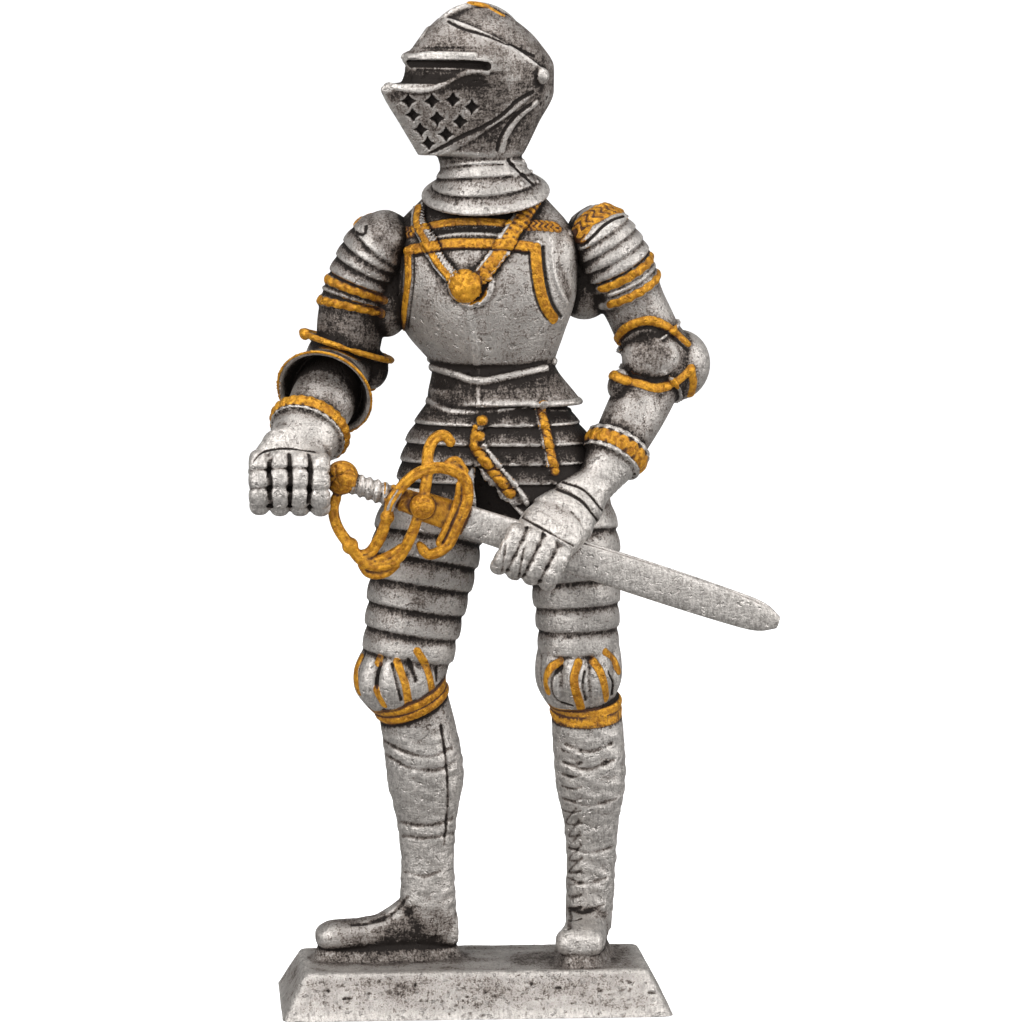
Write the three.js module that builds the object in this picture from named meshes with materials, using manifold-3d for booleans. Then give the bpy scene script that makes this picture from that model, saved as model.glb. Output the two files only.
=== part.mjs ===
// A knight in late medieval plate armour, cast in pewter in one piece with its low plinth: a table figurine.
// Millimetres, +Z up. The origin is the middle of the plinth's underside, and the front faces -Y.
// The figure is worked out in millimetres at its natural height, with heights counted from the plinth's
// top, and is then brought to figureHeight. Left and right are the knight's own.
import * as THREE from "three";
import { mergeVertices } from "three/addons/utils/BufferGeometryUtils.js";
import Module from "manifold-3d";

// Driving dimensions
const figureHeight = 95.9; // from the plinth's top to the crest of the helmet
const plinthHeight = 4.2;
const plinthLedgeSide = 1.4; // flat left over beside the outermost toe
const plinthLedgeFront = 1.3; // flat left over before the foremost toe
const plinthSlopeSide = 2.35; // how far the underside reaches past the top, at each end
const plinthSlopeFront = 3.5; // the same at the front and the back
const plinthCorner = 0.7; // radius of the upright edges
const moundSpread = 0.9; // how far the metal under a sole spreads on the plinth

// Proportions of the figure at its natural height
const naturalHeight = 95.9;
const unit = figureHeight / naturalHeight;
const soleLift = 0.9; // the soles stand this far above the plinth, on mounds of metal
const toeReach = 15.7; // the outermost toe, from the middle of the plinth
const footReach = 5.65; // the foremost toe, from the middle of the plinth
const chestTurn = 19; // degrees that the chest turns towards the knight's right
const headTurn = 66; // degrees that the helmet turns the same way
const plateStep = 0.35; // how proud the edge of a lapped plate stands
const castOverlap = 0.4; // how deep the mounds run into the soles and the plinth
const ballDepth = 1.4; // from the middle of a foot's sections down to its sole
const flatness = 0.18; // facets that lie this near to one plane are joined

const v = (x, y, z) => new THREE.Vector3(x, y, z);
const up = v(0, 0, 1);
const forward = v(0, -1, 0);
const mix = (a, b, share) => a.clone().lerp(b, share);
const turned = (degrees) => forward.clone().applyAxisAngle(up, THREE.MathUtils.degToRad(-degrees));
const towards = (a, b) => b.clone().sub(a).normalize();

const waist = v(2.3, 1.0, 59.4);
const head = v(1.2, 0.6, 87.8);
const kneeRight = v(-6.9, 0.4, 28.2);
const kneeLeft = v(10.8, 0.3, 28.6);
const shoulderRight = v(-9.3, 2.2, 71.4);
const elbowRight = v(-12.9, 2.2, 60.2);
const wristRight = v(-17.2, -6.6, 51.9);
const shoulderLeft = v(13.7, 0.9, 71.0);
const elbowLeft = v(19.2, 2.4, 59.9);
const wristLeft = v(11.7, -4.3, 48.0);
const fistRight = v(-18.4, -9.0, 49.3);
const pommel = v(-13.0, -8.6, 49.3);
const bladeTip = v(29.9, -7.8, 34.8);

const wasm = await Module();
wasm.setup();

// Reads a table of rows [position, value, value, ...] at a position, eased from row to row
function tableAt(rows, position) {
  const last = rows.length - 1;
  let i = 0;
  while (i < last - 1 && position > rows[i + 1][0]) i += 1;
  const span = rows[i + 1][0] - rows[i][0];
  const t = THREE.MathUtils.clamp((position - rows[i][0]) / span, 0, 1);
  const slope = (k, column) => {
    const a = rows[Math.max(k - 1, 0)];
    const b = rows[Math.min(k + 1, last)];
    return ((b[column] - a[column]) / (b[0] - a[0])) * span;
  };
  return rows[i].slice(1).map((start, k) => {
    const end = rows[i + 1][k + 1];
    const [m0, m1] = [slope(i, k + 1), slope(i + 1, k + 1)];
    return start + t * (m0 + t * (3 * (end - start) - 2 * m0 - m1 + t * (m0 + m1 - 2 * (end - start))));
  });
}

// Points round a centre: a superellipse with its own reach to the sides, the front and the back. Power 2
// is an ellipse, more is squarer and less is a keel. Relief is added outwards, by the angle from the front.
function section({ centre, side, front, reach, sides, relief = () => 0 }) {
  const [half, ahead, behind = ahead, power = 2, backPower = 2] = reach;
  return Array.from({ length: sides }, (_, i) => {
    const angle = (i / sides) * 2 * Math.PI;
    const c = Math.cos(angle);
    const s = Math.sin(angle);
    const n = 2 / (c > 0 ? power : backPower);
    const lengthways = Math.sign(c) * Math.abs(c) ** n * (c > 0 ? ahead : behind);
    const across = Math.sign(s) * Math.abs(s) ** n * half;
    const grow = 1 + relief(angle) / Math.hypot(lengthways, across);
    return centre.clone().addScaledVector(front, lengthways * grow).addScaledVector(side, across * grow);
  });
}

// A closed skin over rings that have the same number of points, capped flat at both ends
function skin(rings) {
  const sides = rings[0].length;
  const middle = (ring) => ring.reduce((sum, p) => sum.add(p), v(0, 0, 0)).divideScalar(sides);
  const points = [...rings.flat(), middle(rings[0]), middle(rings.at(-1))];
  const faces = [];
  const first = points.length - 2;
  const end = (rings.length - 1) * sides;
  for (let i = 0; i < sides; i += 1) {
    const j = (i + 1) % sides;
    for (let a = 0; a < end; a += sides) {
      const b = a + sides;
      faces.push(a + i, b + i, a + j, a + j, b + i, b + j);
    }
    faces.push(first, i, j, first + 1, end + j, end + i);
  }
  return new THREE.BufferGeometry().setFromPoints(points).setIndex(faces);
}

// A closed mesh as a solid, facing out whichever way its rings ran
function solid(geometry) {
  geometry.deleteAttribute("normal");
  geometry.deleteAttribute("uv");
  const merged = mergeVertices(geometry, 1e-4);
  const triVerts = new Uint32Array(merged.index.array);
  const vertProperties = merged.attributes.position.array;
  const make = () => new wasm.Manifold(new wasm.Mesh({ numProp: 3, vertProperties, triVerts }));
  const made = make();
  if (made.volume() > 0) return made;
  for (let i = 0; i < triVerts.length; i += 3) triVerts.subarray(i, i + 2).reverse();
  return make();
}

// A form swept along a smooth path. A row of its table is [share of the path, half width, reach to the
// front, reach to the back, front power, back power], and stops are the shares that get a ring. The rings
// stand square to the path, or lie level.
function form({ path, facing, table, stops = 6, sides = 12, level = false, relief = () => 0 }) {
  const curve = new THREE.CatmullRomCurve3(path);
  const shares = Array.isArray(stops) ? stops : Array.from({ length: stops }, (_, i) => i / (stops - 1));
  const rings = shares.map((share) => {
    const along = level ? up : curve.getTangentAt(share);
    const side = v(0, 0, 0).crossVectors(facing, along).normalize();
    const front = v(0, 0, 0).crossVectors(along, side).normalize();
    const [centre, reach] = [curve.getPointAt(share), tableAt(table, share)];
    return section({ centre, side, front, reach, sides, relief: (angle) => relief(share, angle) });
  });
  return solid(skin(rings));
}

// A run of lapped plates along a form: each flares to its lower edge and then steps back, so it needs two
// rings close together at every edge
function lapped({ from, to, plates, proud = plateStep }) {
  const gap = 0.05 / plates;
  const edges = Array.from({ length: plates + 1 }, (_, i) => from + ((to - from) * i) / plates);
  const stops = edges.flatMap((edge, i) => (i === 0 ? [edge] : [edge - gap, edge + gap]));
  const relief = (share) => {
    if (share <= from || share >= to) return 0;
    const place = ((share - from) / (to - from)) * plates;
    return proud * (place - Math.floor(place));
  };
  return { stops: stops.filter((share) => share < 1), relief };
}

// A round-sectioned bar through points
function bar(points, radius, steps) {
  const shape = new THREE.Shape().absarc(0, 0, radius, 0, 2 * Math.PI);
  const extrudePath = new THREE.CatmullRomCurve3(points);
  const settings = { steps, extrudePath, curveSegments: 3, bevelEnabled: false };
  return solid(new THREE.ExtrudeGeometry(shape, settings));
}

// An ellipsoid with its poles along an axis
function ball(centre, axis, half, round, sides = 8) {
  const turn = new THREE.Quaternion().setFromUnitVectors(v(0, 1, 0), axis.clone().normalize());
  const shape = new THREE.SphereGeometry(1, sides, Math.round(sides * 0.6)).scale(round, half, round);
  return solid(shape.applyQuaternion(turn).translate(...centre));
}

function plinth() {
  const topHalf = toeReach * unit + plinthLedgeSide;
  const topDeep = footReach * unit + plinthLedgeFront;
  const outline = (x, y, z) => {
    const r = plinthCorner;
    const shape = new THREE.Shape();
    shape.absarc(x - r, y - r, r, 0, Math.PI / 2);
    shape.absarc(r - x, y - r, r, Math.PI / 2, Math.PI);
    shape.absarc(r - x, r - y, r, Math.PI, 1.5 * Math.PI);
    shape.absarc(x - r, r - y, r, 1.5 * Math.PI, 2 * Math.PI);
    return shape.getPoints(3).slice(0, -1).map((p) => v(p.x, p.y, z));
  };
  const worn = plinthCorner / 4;
  return solid(
    skin([
      outline(topHalf + plinthSlopeSide, topDeep + plinthSlopeFront, 0),
      outline(topHalf + worn, topDeep + worn, plinthHeight - worn),
      outline(topHalf - worn, topDeep - worn, plinthHeight),
    ]),
  );
}

// A boot's foot from heel to blunt toe, on the mound of metal that joins it to the plinth
function foot(heel, toe) {
  const along = towards(heel, toe);
  const side = v(0, 0, 0).crossVectors(up, along);
  const middle = mix(heel, toe, 0.5);
  const half = heel.distanceTo(toe) / 2;
  const lasted = form({
    path: [heel, middle, toe].map((p) => p.clone().setZ(soleLift + ballDepth)),
    facing: up,
    table: [
      [0, 1.3, 1.9, 1.0, 2, 3],
      [0.06, 1.9, 3.0, ballDepth, 2, 3],
      [0.35, 2.1, 3.8, ballDepth, 2, 3],
      [0.55, 2.2, 2.1, ballDepth, 2, 3],
      [0.7, 2.4, 1.6, ballDepth, 2.2, 3],
      [0.9, 2.4, 1.4, ballDepth, 2.4, 3],
      [0.97, 1.9, 1.0, 1.2, 2.2, 3],
      [1, 1.3, 0.5, 0.8, 2, 3],
    ],
    stops: [0, 0.06, 0.3, 0.42, 0.56, 0.74, 0.9, 0.97, 1],
    sides: 8,
  });
  const spreads = [
    [-castOverlap, moundSpread],
    [soleLift * 0.4, moundSpread / 2],
    [soleLift + castOverlap, 0],
  ];
  const rings = spreads.map(([height, grow]) =>
    section({
      centre: middle.clone().setZ(height),
      side,
      front: along,
      reach: [2.1 + grow, half - 0.2 + grow, half - 0.2 + grow, 2.6, 2.6],
      sides: 8,
    }),
  );
  return [lasted, solid(skin(rings))];
}

// The lower leg in a soft boot: the calf swells backwards and the ankle runs into the foot
function boot({ stations, front, heel, toe }) {
  const calf = form({
    path: stations,
    facing: front,
    table: [
      [0, 3.5, 3.4, 3.7],
      [0.15, 3.6, 3.5, 4.0],
      [0.35, 3.5, 3.6, 4.1],
      [0.52, 2.8, 3.0, 3.1],
      [0.68, 2.5, 2.75, 2.65],
      [0.85, 2.45, 2.9, 2.7],
      [1, 2.3, 2.9, 2.9],
    ],
    stops: [0, 0.15, 0.35, 0.5, 0.64, 0.8, 1],
    sides: 9,
  });
  return [calf, ...foot(heel, toe)];
}

// A puffed knee with gores like a pumpkin's over its front, and a strap of two rolls that leans under it
function kneeCop({ knee, front, strapAt, lean, girth }) {
  const gores = 9;
  const puff = form({
    path: [knee.clone().addScaledVector(up, 3.9), knee, mix(knee, strapAt, 0.3).setZ(knee.z - 2.9)],
    facing: front,
    table: [
      [0, 3.8, 3.4, 3.6],
      [0.16, 4.1, 4.1, 3.8],
      [0.4, 4.3, 4.8, 3.9],
      [0.65, 4.2, 4.8, 3.9],
      [0.88, 3.6, 3.9, 3.6],
      [1, 3.2, 3.3, 3.3],
    ],
    stops: [0, 0.16, 0.4, 0.65, 0.88, 1],
    sides: 2 * gores,
    relief: (share, angle) =>
      0.3 * Math.max(0, Math.cos(angle)) * Math.sin(Math.PI * share) * Math.cos(gores * angle),
  });
  const tilt = front.clone().multiplyScalar(lean).add(up).normalize();
  const round = (share, radius) => [share, radius * girth, radius * girth];
  const strap = form({
    path: [strapAt.clone().addScaledVector(tilt, 1), strapAt.clone().addScaledVector(tilt, -1)],
    facing: front,
    table: [round(0, 3.6), round(0.25, 4.0), round(0.5, 3.75), round(0.75, 3.95), round(1, 3.5)],
    stops: 5,
    sides: 8,
  });
  return [puff, strap];
}

// A thigh in hooped plates
function thigh(path, front, girth = 1) {
  const { stops, relief } = lapped({ from: 0.1, to: 0.86, plates: 6 });
  const table = [
    [0, 5.0 * girth, 4.9, 5.0],
    [0.3, 5.1 * girth, 5.2, 5.2],
    [0.6, 4.5 * girth, 4.8, 4.7],
    [1, 4.0 * girth, 4.1, 4.1],
  ];
  return form({ path, facing: front, table, stops: [0, ...stops, 1], sides: 9, relief });
}

function legs() {
  const rightFront = turned(55);
  const leftFront = turned(10);
  return [
    thigh([v(-3.6, 1.7, 47.0), v(-5.2, 0.6, 38.0), kneeRight], rightFront),
    thigh([v(9.4, 1.7, 47.0), v(10.45, 0.5, 37.5), kneeLeft], leftFront, 0.89),
    ...kneeCop({ knee: kneeRight, front: rightFront, strapAt: v(-6.2, 0.6, 26.6), lean: 0.5, girth: 1 }),
    ...kneeCop({ knee: kneeLeft, front: leftFront, strapAt: v(11.5, 0.9, 25.5), lean: 0.25, girth: 0.92 }),
    ...boot({
      stations: [v(-6.1, 0.8, 26.4), v(-4.9, 1.4, 18.6), v(-4.4, 1.9, 11), v(-4.2, 2.0, 2.4)],
      front: turned(85),
      heel: v(-1.4, 2.2, soleLift),
      toe: v(-toeReach, 1.2, soleLift),
    }),
    ...boot({
      stations: [v(11.5, 0.6, 25.6), v(12.0, 1.2, 18.6), v(12.2, 2.2, 11), v(12.0, 3.0, 2.4)],
      front: turned(8),
      heel: v(12.5, 5.6, soleLift),
      toe: v(10.2, -footReach, soleLift),
    }),
  ];
}

// The hooped skirt, with a steep notch over the crotch
function skirt() {
  const facing = turned(chestTurn * 0.6);
  const hem = 44.6;
  const { stops, relief } = lapped({ from: 0.12, to: 1, plates: 6 });
  const whole = form({
    path: [waist.clone().setZ(57.6), v(2.8, 1.3, 51), v(2.9, 1.5, hem)],
    facing,
    table: [
      [0, 6.5, 5.0, 4.9, 2, 2],
      [0.15, 7.1, 5.5, 5.3, 2.1, 2.1],
      [0.37, 8.8, 6.2, 5.9, 2.2, 2.2],
      [0.65, 9.9, 6.6, 6.3, 2.3, 2.3],
      [1, 10.3, 6.7, 6.5, 2.4, 2.4],
    ],
    stops: [0, ...stops.slice(0, -1), 1],
    sides: 16,
    level: true,
    relief,
  });
  const corners = [
    [-0.1, 6.2],
    [0.7, -2],
    [7.2, -2],
  ];
  const notch = new THREE.Shape(corners.map(([across, height]) => new THREE.Vector2(across, height)));
  const cut = new THREE.ExtrudeGeometry(notch, { depth: 12, bevelEnabled: false });
  cut.rotateX(Math.PI / 2).translate(-0.2, -3, hem);
  return whole.subtract(solid(cut));
}

// Breast and back plate, from the flared waist flange to the shoulders, with a keel down the front
function torso() {
  return form({
    path: [v(3.3, 1.0, 56.2), waist, v(1.3, 1.0, 63.0), v(1.1, 1.0, 67.5), v(1.4, 1.8, 78.4)],
    facing: turned(chestTurn),
    level: true,
    table: [
      [0, 7.9, 6.2, 5.8, 1.8, 2],
      [0.045, 7.5, 5.8, 5.5, 1.8, 2],
      [0.135, 6.5, 5.1, 4.9, 1.8, 2],
      [0.18, 6.3, 4.9, 4.7, 1.8, 2],
      [0.2, 6.5, 5.4, 4.8, 1.7, 2],
      [0.31, 8.0, 6.4, 5.2, 1.65, 2],
      [0.45, 9.3, 7.0, 5.7, 1.7, 2.1],
      [0.58, 9.7, 6.8, 5.9, 1.9, 2.1],
      [0.72, 9.6, 5.9, 5.8, 2.2, 2.2],
      [0.81, 8.5, 4.9, 5.6, 2.2, 2.1],
      [0.9, 6.6, 3.6, 4.9, 2, 2],
      [1, 4.4, 2.6, 3.6, 2, 2],
    ],
    stops: [0, 0.045, 0.135, 0.18, 0.2, 0.3, 0.4, 0.5, 0.6, 0.7, 0.79, 0.86, 0.93, 1],
    sides: 16,
  });
}

// The collar: narrow hoops over a broad rim that lies on the shoulders, lower at the front than at the back
function collar() {
  const { stops, relief } = lapped({ from: 0.4, to: 0.94, plates: 3, proud: 0.25 });
  const rise = v(-0.12, -0.28, 1).normalize();
  const base = v(1.5, 1.0, 76.7);
  return form({
    path: [base, base.clone().addScaledVector(rise, 2), head.clone().setZ(80.6)],
    facing: turned(chestTurn + 20),
    table: [
      [0, 6.2, 5.4, 5.2],
      [0.1, 6.7, 5.8, 5.6],
      [0.3, 5.5, 5.1, 4.9],
      [0.5, 4.8, 4.6, 4.4],
      [0.75, 4.2, 4.2, 4.0],
      [1, 3.8, 4.0, 3.7],
    ],
    stops: [0, 0.1, 0.3, ...stops.slice(1)],
    relief: (share) => (share < 0.4 ? 0 : plateStep - relief(share)),
  });
}

// The helmet, in level sections: a skull over a chin plate, and a keeled visor that turns on two pivots.
// A row is [height, half width, reach to the front, reach to the back, front power, back power, lift],
// where lift raises the sides of the snout's ledge over its tip.
function helmet() {
  const facing = turned(headTurn);
  const side = v(0, 0, 0).crossVectors(facing, up);
  const skullRows = [
    [79.0, 4.0, 4.2, 3.4, 2, 2, 0],
    [80.7, 4.3, 4.7, 3.6, 2, 2, 0],
    [81.1, 4.5, 6.8, 3.9, 1.6, 2, 0],
    [84.0, 5.1, 7.8, 5.6, 1.5, 2, 0],
    [87.2, 5.8, 8.2, 7.3, 1.6, 2, 0],
    [89.4, 5.9, 8.0, 7.3, 1.7, 2, 0],
    [92.0, 5.2, 6.7, 5.6, 1.8, 2, 0],
    [94.0, 3.6, 4.5, 3.3, 2, 2, 0],
    [95.3, 1.2, 2.0, 0.8, 2, 2, 0],
  ];
  const slit = [89.75, 90.0];
  const visorRows = [
    [80.9, 4.8, 7.2, 4.2, 1.45, 2, 0],
    [84.0, 5.4, 9.3, 5.8, 1.3, 2, 0],
    [86.9, 6.1, 11.2, 7.3, 1.25, 2, 1.1],
    [87.4, 6.2, 11.4, 7.5, 1.25, 2, 1.2],
    [87.9, 6.2, 10.9, 7.6, 1.3, 2, 1.2],
    [88.1, 6.2, 9.0, 7.6, 1.5, 2, 1.1],
    [89.5, 6.2, 8.5, 7.6, 1.6, 2, 0.1],
    [slit[0], 6.2, 8.6, 7.6, 1.6, 2, 0],
    [slit[1], 6.2, 8.7, 7.6, 1.6, 2, 0],
    [90.25, 6.2, 8.9, 7.6, 1.6, 2, 0],
    [90.8, 6.1, 8.6, 7.4, 1.6, 2, 0],
    [91.0, 6.05, 8.2, 7.3, 1.6, 2, 0],
    [92.6, 5.2, 6.7, 5.6, 1.7, 2, 0],
    [94.0, 4.0, 5.2, 3.7, 1.8, 2, 0],
    [95.2, 2.4, 3.6, 1.8, 2, 2, 0],
  ];
  const smooth = (angle) => THREE.MathUtils.smoothstep(Math.min(angle, 2 * Math.PI - angle), 0.7, 1.1);
  const shell = (rows, sides) => {
    const rings = rows.map(([height, ...reach]) => {
      const lift = reach.pop();
      const cutIn = slit.includes(height) ? -0.9 : 0;
      const relief = (angle) => cutIn * (1 - smooth(angle));
      const ring = section({ centre: head.clone().setZ(height), side, front: facing, reach, sides, relief });
      return ring.map((p, i) => p.addScaledVector(up, lift * smooth((i / sides) * 2 * Math.PI)));
    });
    return solid(skin(rings));
  };
  const at = (height, ahead, across = 0) =>
    head.clone().setZ(height).addScaledVector(facing, ahead).addScaledVector(side, across);
  // The visor is the part of its shell that lies in a wedge from the pivots to the forehead and the chin
  const [pivotHeight, pivotBack] = [88.7, -3.6];
  const reachOut = 20;
  const wedge = new THREE.Shape([
    new THREE.Vector2(pivotBack - 0.9, 0.3),
    new THREE.Vector2(4.4, 94.4 - pivotHeight),
    new THREE.Vector2(reachOut, reachOut),
    new THREE.Vector2(reachOut, 80.6 - pivotHeight),
    new THREE.Vector2(6.0, 80.6 - pivotHeight),
    new THREE.Vector2(pivotBack - 0.6, -0.8),
  ]);
  const cut = new THREE.ExtrudeGeometry(wedge, { depth: 2 * reachOut, bevelEnabled: false });
  cut.translate(0, 0, -reachOut).applyMatrix4(new THREE.Matrix4().makeBasis(facing, up, side));
  cut.translate(...head.clone().setZ(pivotHeight));
  const crest = form({
    path: [at(91.8, 6.0), at(94.0, 4.3), at(95.0, 1.3), at(94.4, -2.0), at(92.2, -4.8)],
    facing: side,
    table: [
      [0, 0.3, 0.4, 0.4],
      [0.3, 0.8, 0.6, 0.6],
      [0.55, 0.95, 0.75, 0.75],
      [0.8, 0.7, 0.6, 0.6],
      [1, 0.3, 0.4, 0.4],
    ],
    stops: 7,
    sides: 6,
  });
  const pivots = [1, -1].map((hand) => ball(at(pivotHeight, pivotBack, 5.3 * hand), side, 0.9, 0.85, 6));
  return [shell(skullRows, 14), shell(visorRows, 16).intersect(solid(cut)), crest, ...pivots];
}

// A shoulder and upper arm in hoops that overlap downwards, with two rope mouldings above the elbow
function upperArm({ path, hoops, ropes, girth, below }) {
  const { stops, relief } = lapped({ from: hoops[0], to: hoops[1], plates: 4, proud: 0.3 });
  const ropeHalf = 0.03;
  const ropeStops = ropes.flatMap((middle) => [middle - ropeHalf, middle, middle + ropeHalf]);
  return form({
    path,
    facing: forward,
    table: [
      [0, 1.2 * girth, 1.5, 1.5],
      [0.04, 2.3 * girth, 2.9, 2.9],
      [0.12, 3.1 * girth, 3.9, 3.9],
      [0.26, 3.5 * girth, 4.2, 4.1],
      [0.45, 3.5 * girth, 4.0, 3.9],
      [0.62, below, 3.5, 3.5],
      [0.78, below, 3.2, 3.2],
      [1, 3.0, 3.0, 3.0],
    ],
    stops: [0, 0.04, ...stops, ...ropeStops, 1],
    sides: 9,
    relief: (share) => relief(share) + (ropes.includes(share) ? 0.36 : 0),
  });
}

// One half of an elbow plate: a bell that flares from the joint to a mouth
function bell(elbow, mouthAt, radius, mouth) {
  return form({
    path: [elbow, mouthAt],
    facing: v(0.1, -1, 0.3),
    table: [
      [0, radius, radius, radius],
      [0.5, radius, radius, radius],
      [0.88, mouth - 0.4, mouth - 0.4, mouth - 0.4],
      [1, mouth, mouth, mouth],
    ],
    stops: [0, 0.5, 0.88, 1],
    sides: 10,
  });
}

// The hollow of a bell, open at the mouth
function hollow(elbow, mouthAt, radius, mouth) {
  const table = [
    [0, radius, radius, radius],
    [1, mouth, mouth, mouth],
  ];
  const path = [mix(elbow, mouthAt, 0.45), mix(elbow, mouthAt, 1.02)];
  return form({ path, facing: v(0.1, -1, 0.3), table, stops: 2, sides: 10 });
}

// A forearm plate that runs into a gauntlet's banded cuff and its wrist
function forearm({ elbow, cuff, wrist, armRadius, cuffRadius, wristRadius }) {
  const facing = v(0.2, -0.6, 0.8);
  const round = (share, radius) => [share, radius, radius, radius];
  const arm = form({
    path: [elbow, cuff],
    facing,
    table: [round(0, armRadius), round(0.5, armRadius + 0.1), round(1, armRadius - 0.3)],
    stops: 3,
    sides: 9,
  });
  const along = towards(elbow, cuff);
  const gauntlet = form({
    path: [cuff.clone().addScaledVector(along, -1), cuff.clone().addScaledVector(along, 1.2), wrist],
    facing,
    table: [
      round(0, cuffRadius - 0.3),
      round(0.08, cuffRadius),
      round(0.3, cuffRadius - 0.1),
      round(0.38, cuffRadius - 0.5),
      round(0.7, wristRadius + 0.3),
      round(1, wristRadius),
    ],
    stops: [0, 0.08, 0.3, 0.38, 0.6, 1],
    sides: 11,
  });
  return [arm, gauntlet];
}

// Four jointed fingers side by side, each bent from its knuckle down and under
function fingers({ knuckle, across, down, under, width, length }) {
  return [0, 1, 2, 3].map((i) => {
    const root = knuckle.clone().addScaledVector(across, (i - 1.5) * width);
    root.addScaledVector(down, 0.12 * (i - 1.4) ** 2);
    const reach = length * (1 - 0.06 * Math.abs(i - 1.4));
    const point = (d, u) => root.clone().addScaledVector(down, d * reach).addScaledVector(under, u * reach);
    const full = width * 0.47;
    const joint = [full * 0.97, full * 0.86, full * 0.86];
    return form({
      path: [point(-0.1, 0.3), point(0, 0.02), point(0.35, -0.06), point(0.72, 0.02), point(0.98, 0.34)],
      facing: across,
      table: [
        [0, full, full, full],
        [0.26, full, full, full],
        [0.4, ...joint],
        [0.53, full, full, full],
        [0.67, ...joint],
        [0.8, full, full, full],
        [1, full * 0.6, full * 0.6, full * 0.6],
      ],
      stops: [0, 0.26, 0.4, 0.53, 0.67, 0.8, 1],
      sides: 5,
    });
  });
}

// A clenched gauntlet: the back of the hand in plates, and the four fingers over what it holds
function hand({ path, facing, table, ...grasp }) {
  const { stops, relief } = lapped({ from: 0.1, to: 0.6, plates: 2, proud: 0.25 });
  return [form({ path, facing, table, stops: [0, ...stops, 1], sides: 8, relief }), ...fingers(grasp)];
}

const rightHand = () =>
  hand({
    path: [v(0.2, 0.8, 0.6).add(wristRight), v(0, 0.2, 1.6).add(fistRight), v(0, 0.6, -2.4).add(fistRight)],
    facing: v(0, -1, 0.3),
    table: [
      [0, 2.7, 2.2, 2.2, 2.4, 2.4],
      [0.4, 3.4, 2.0, 2.4, 2.8, 2.4],
      [0.7, 3.9, 1.9, 2.6, 3, 2.6],
      [1, 3.5, 1.6, 2.2, 3, 2.6],
    ],
    knuckle: v(-0.1, -1.9, 2.1).add(fistRight),
    across: v(0.99, -0.06, -0.02).normalize(),
    down: v(0, -0.1, -1).normalize(),
    under: v(0.06, 1, 0),
    width: 1.98,
    length: 5.2,
  });

const leftHand = (hold, along) =>
  hand({
    path: [v(0.3, 0.3, 0.5).add(wristLeft), v(8.9, -6.4, 45.6), v(-0.4, -1.4, 0.6).add(hold)],
    facing: v(-0.3, -1, 0.4),
    table: [
      [0, 2.0, 1.9, 1.9, 2.2, 2.2],
      [0.45, 2.9, 1.8, 2.0, 2.4, 2.2],
      [0.75, 3.4, 1.7, 1.9, 2.6, 2.2],
      [1, 3.2, 1.4, 1.8, 2.6, 2.2],
    ],
    knuckle: v(-0.6, -2.2, 0.8).add(hold),
    across: along,
    down: v(-0.47, -0.1, -0.88).normalize(),
    under: v(0.1, 1, 0),
    width: 1.7,
    length: 4.5,
  });

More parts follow.
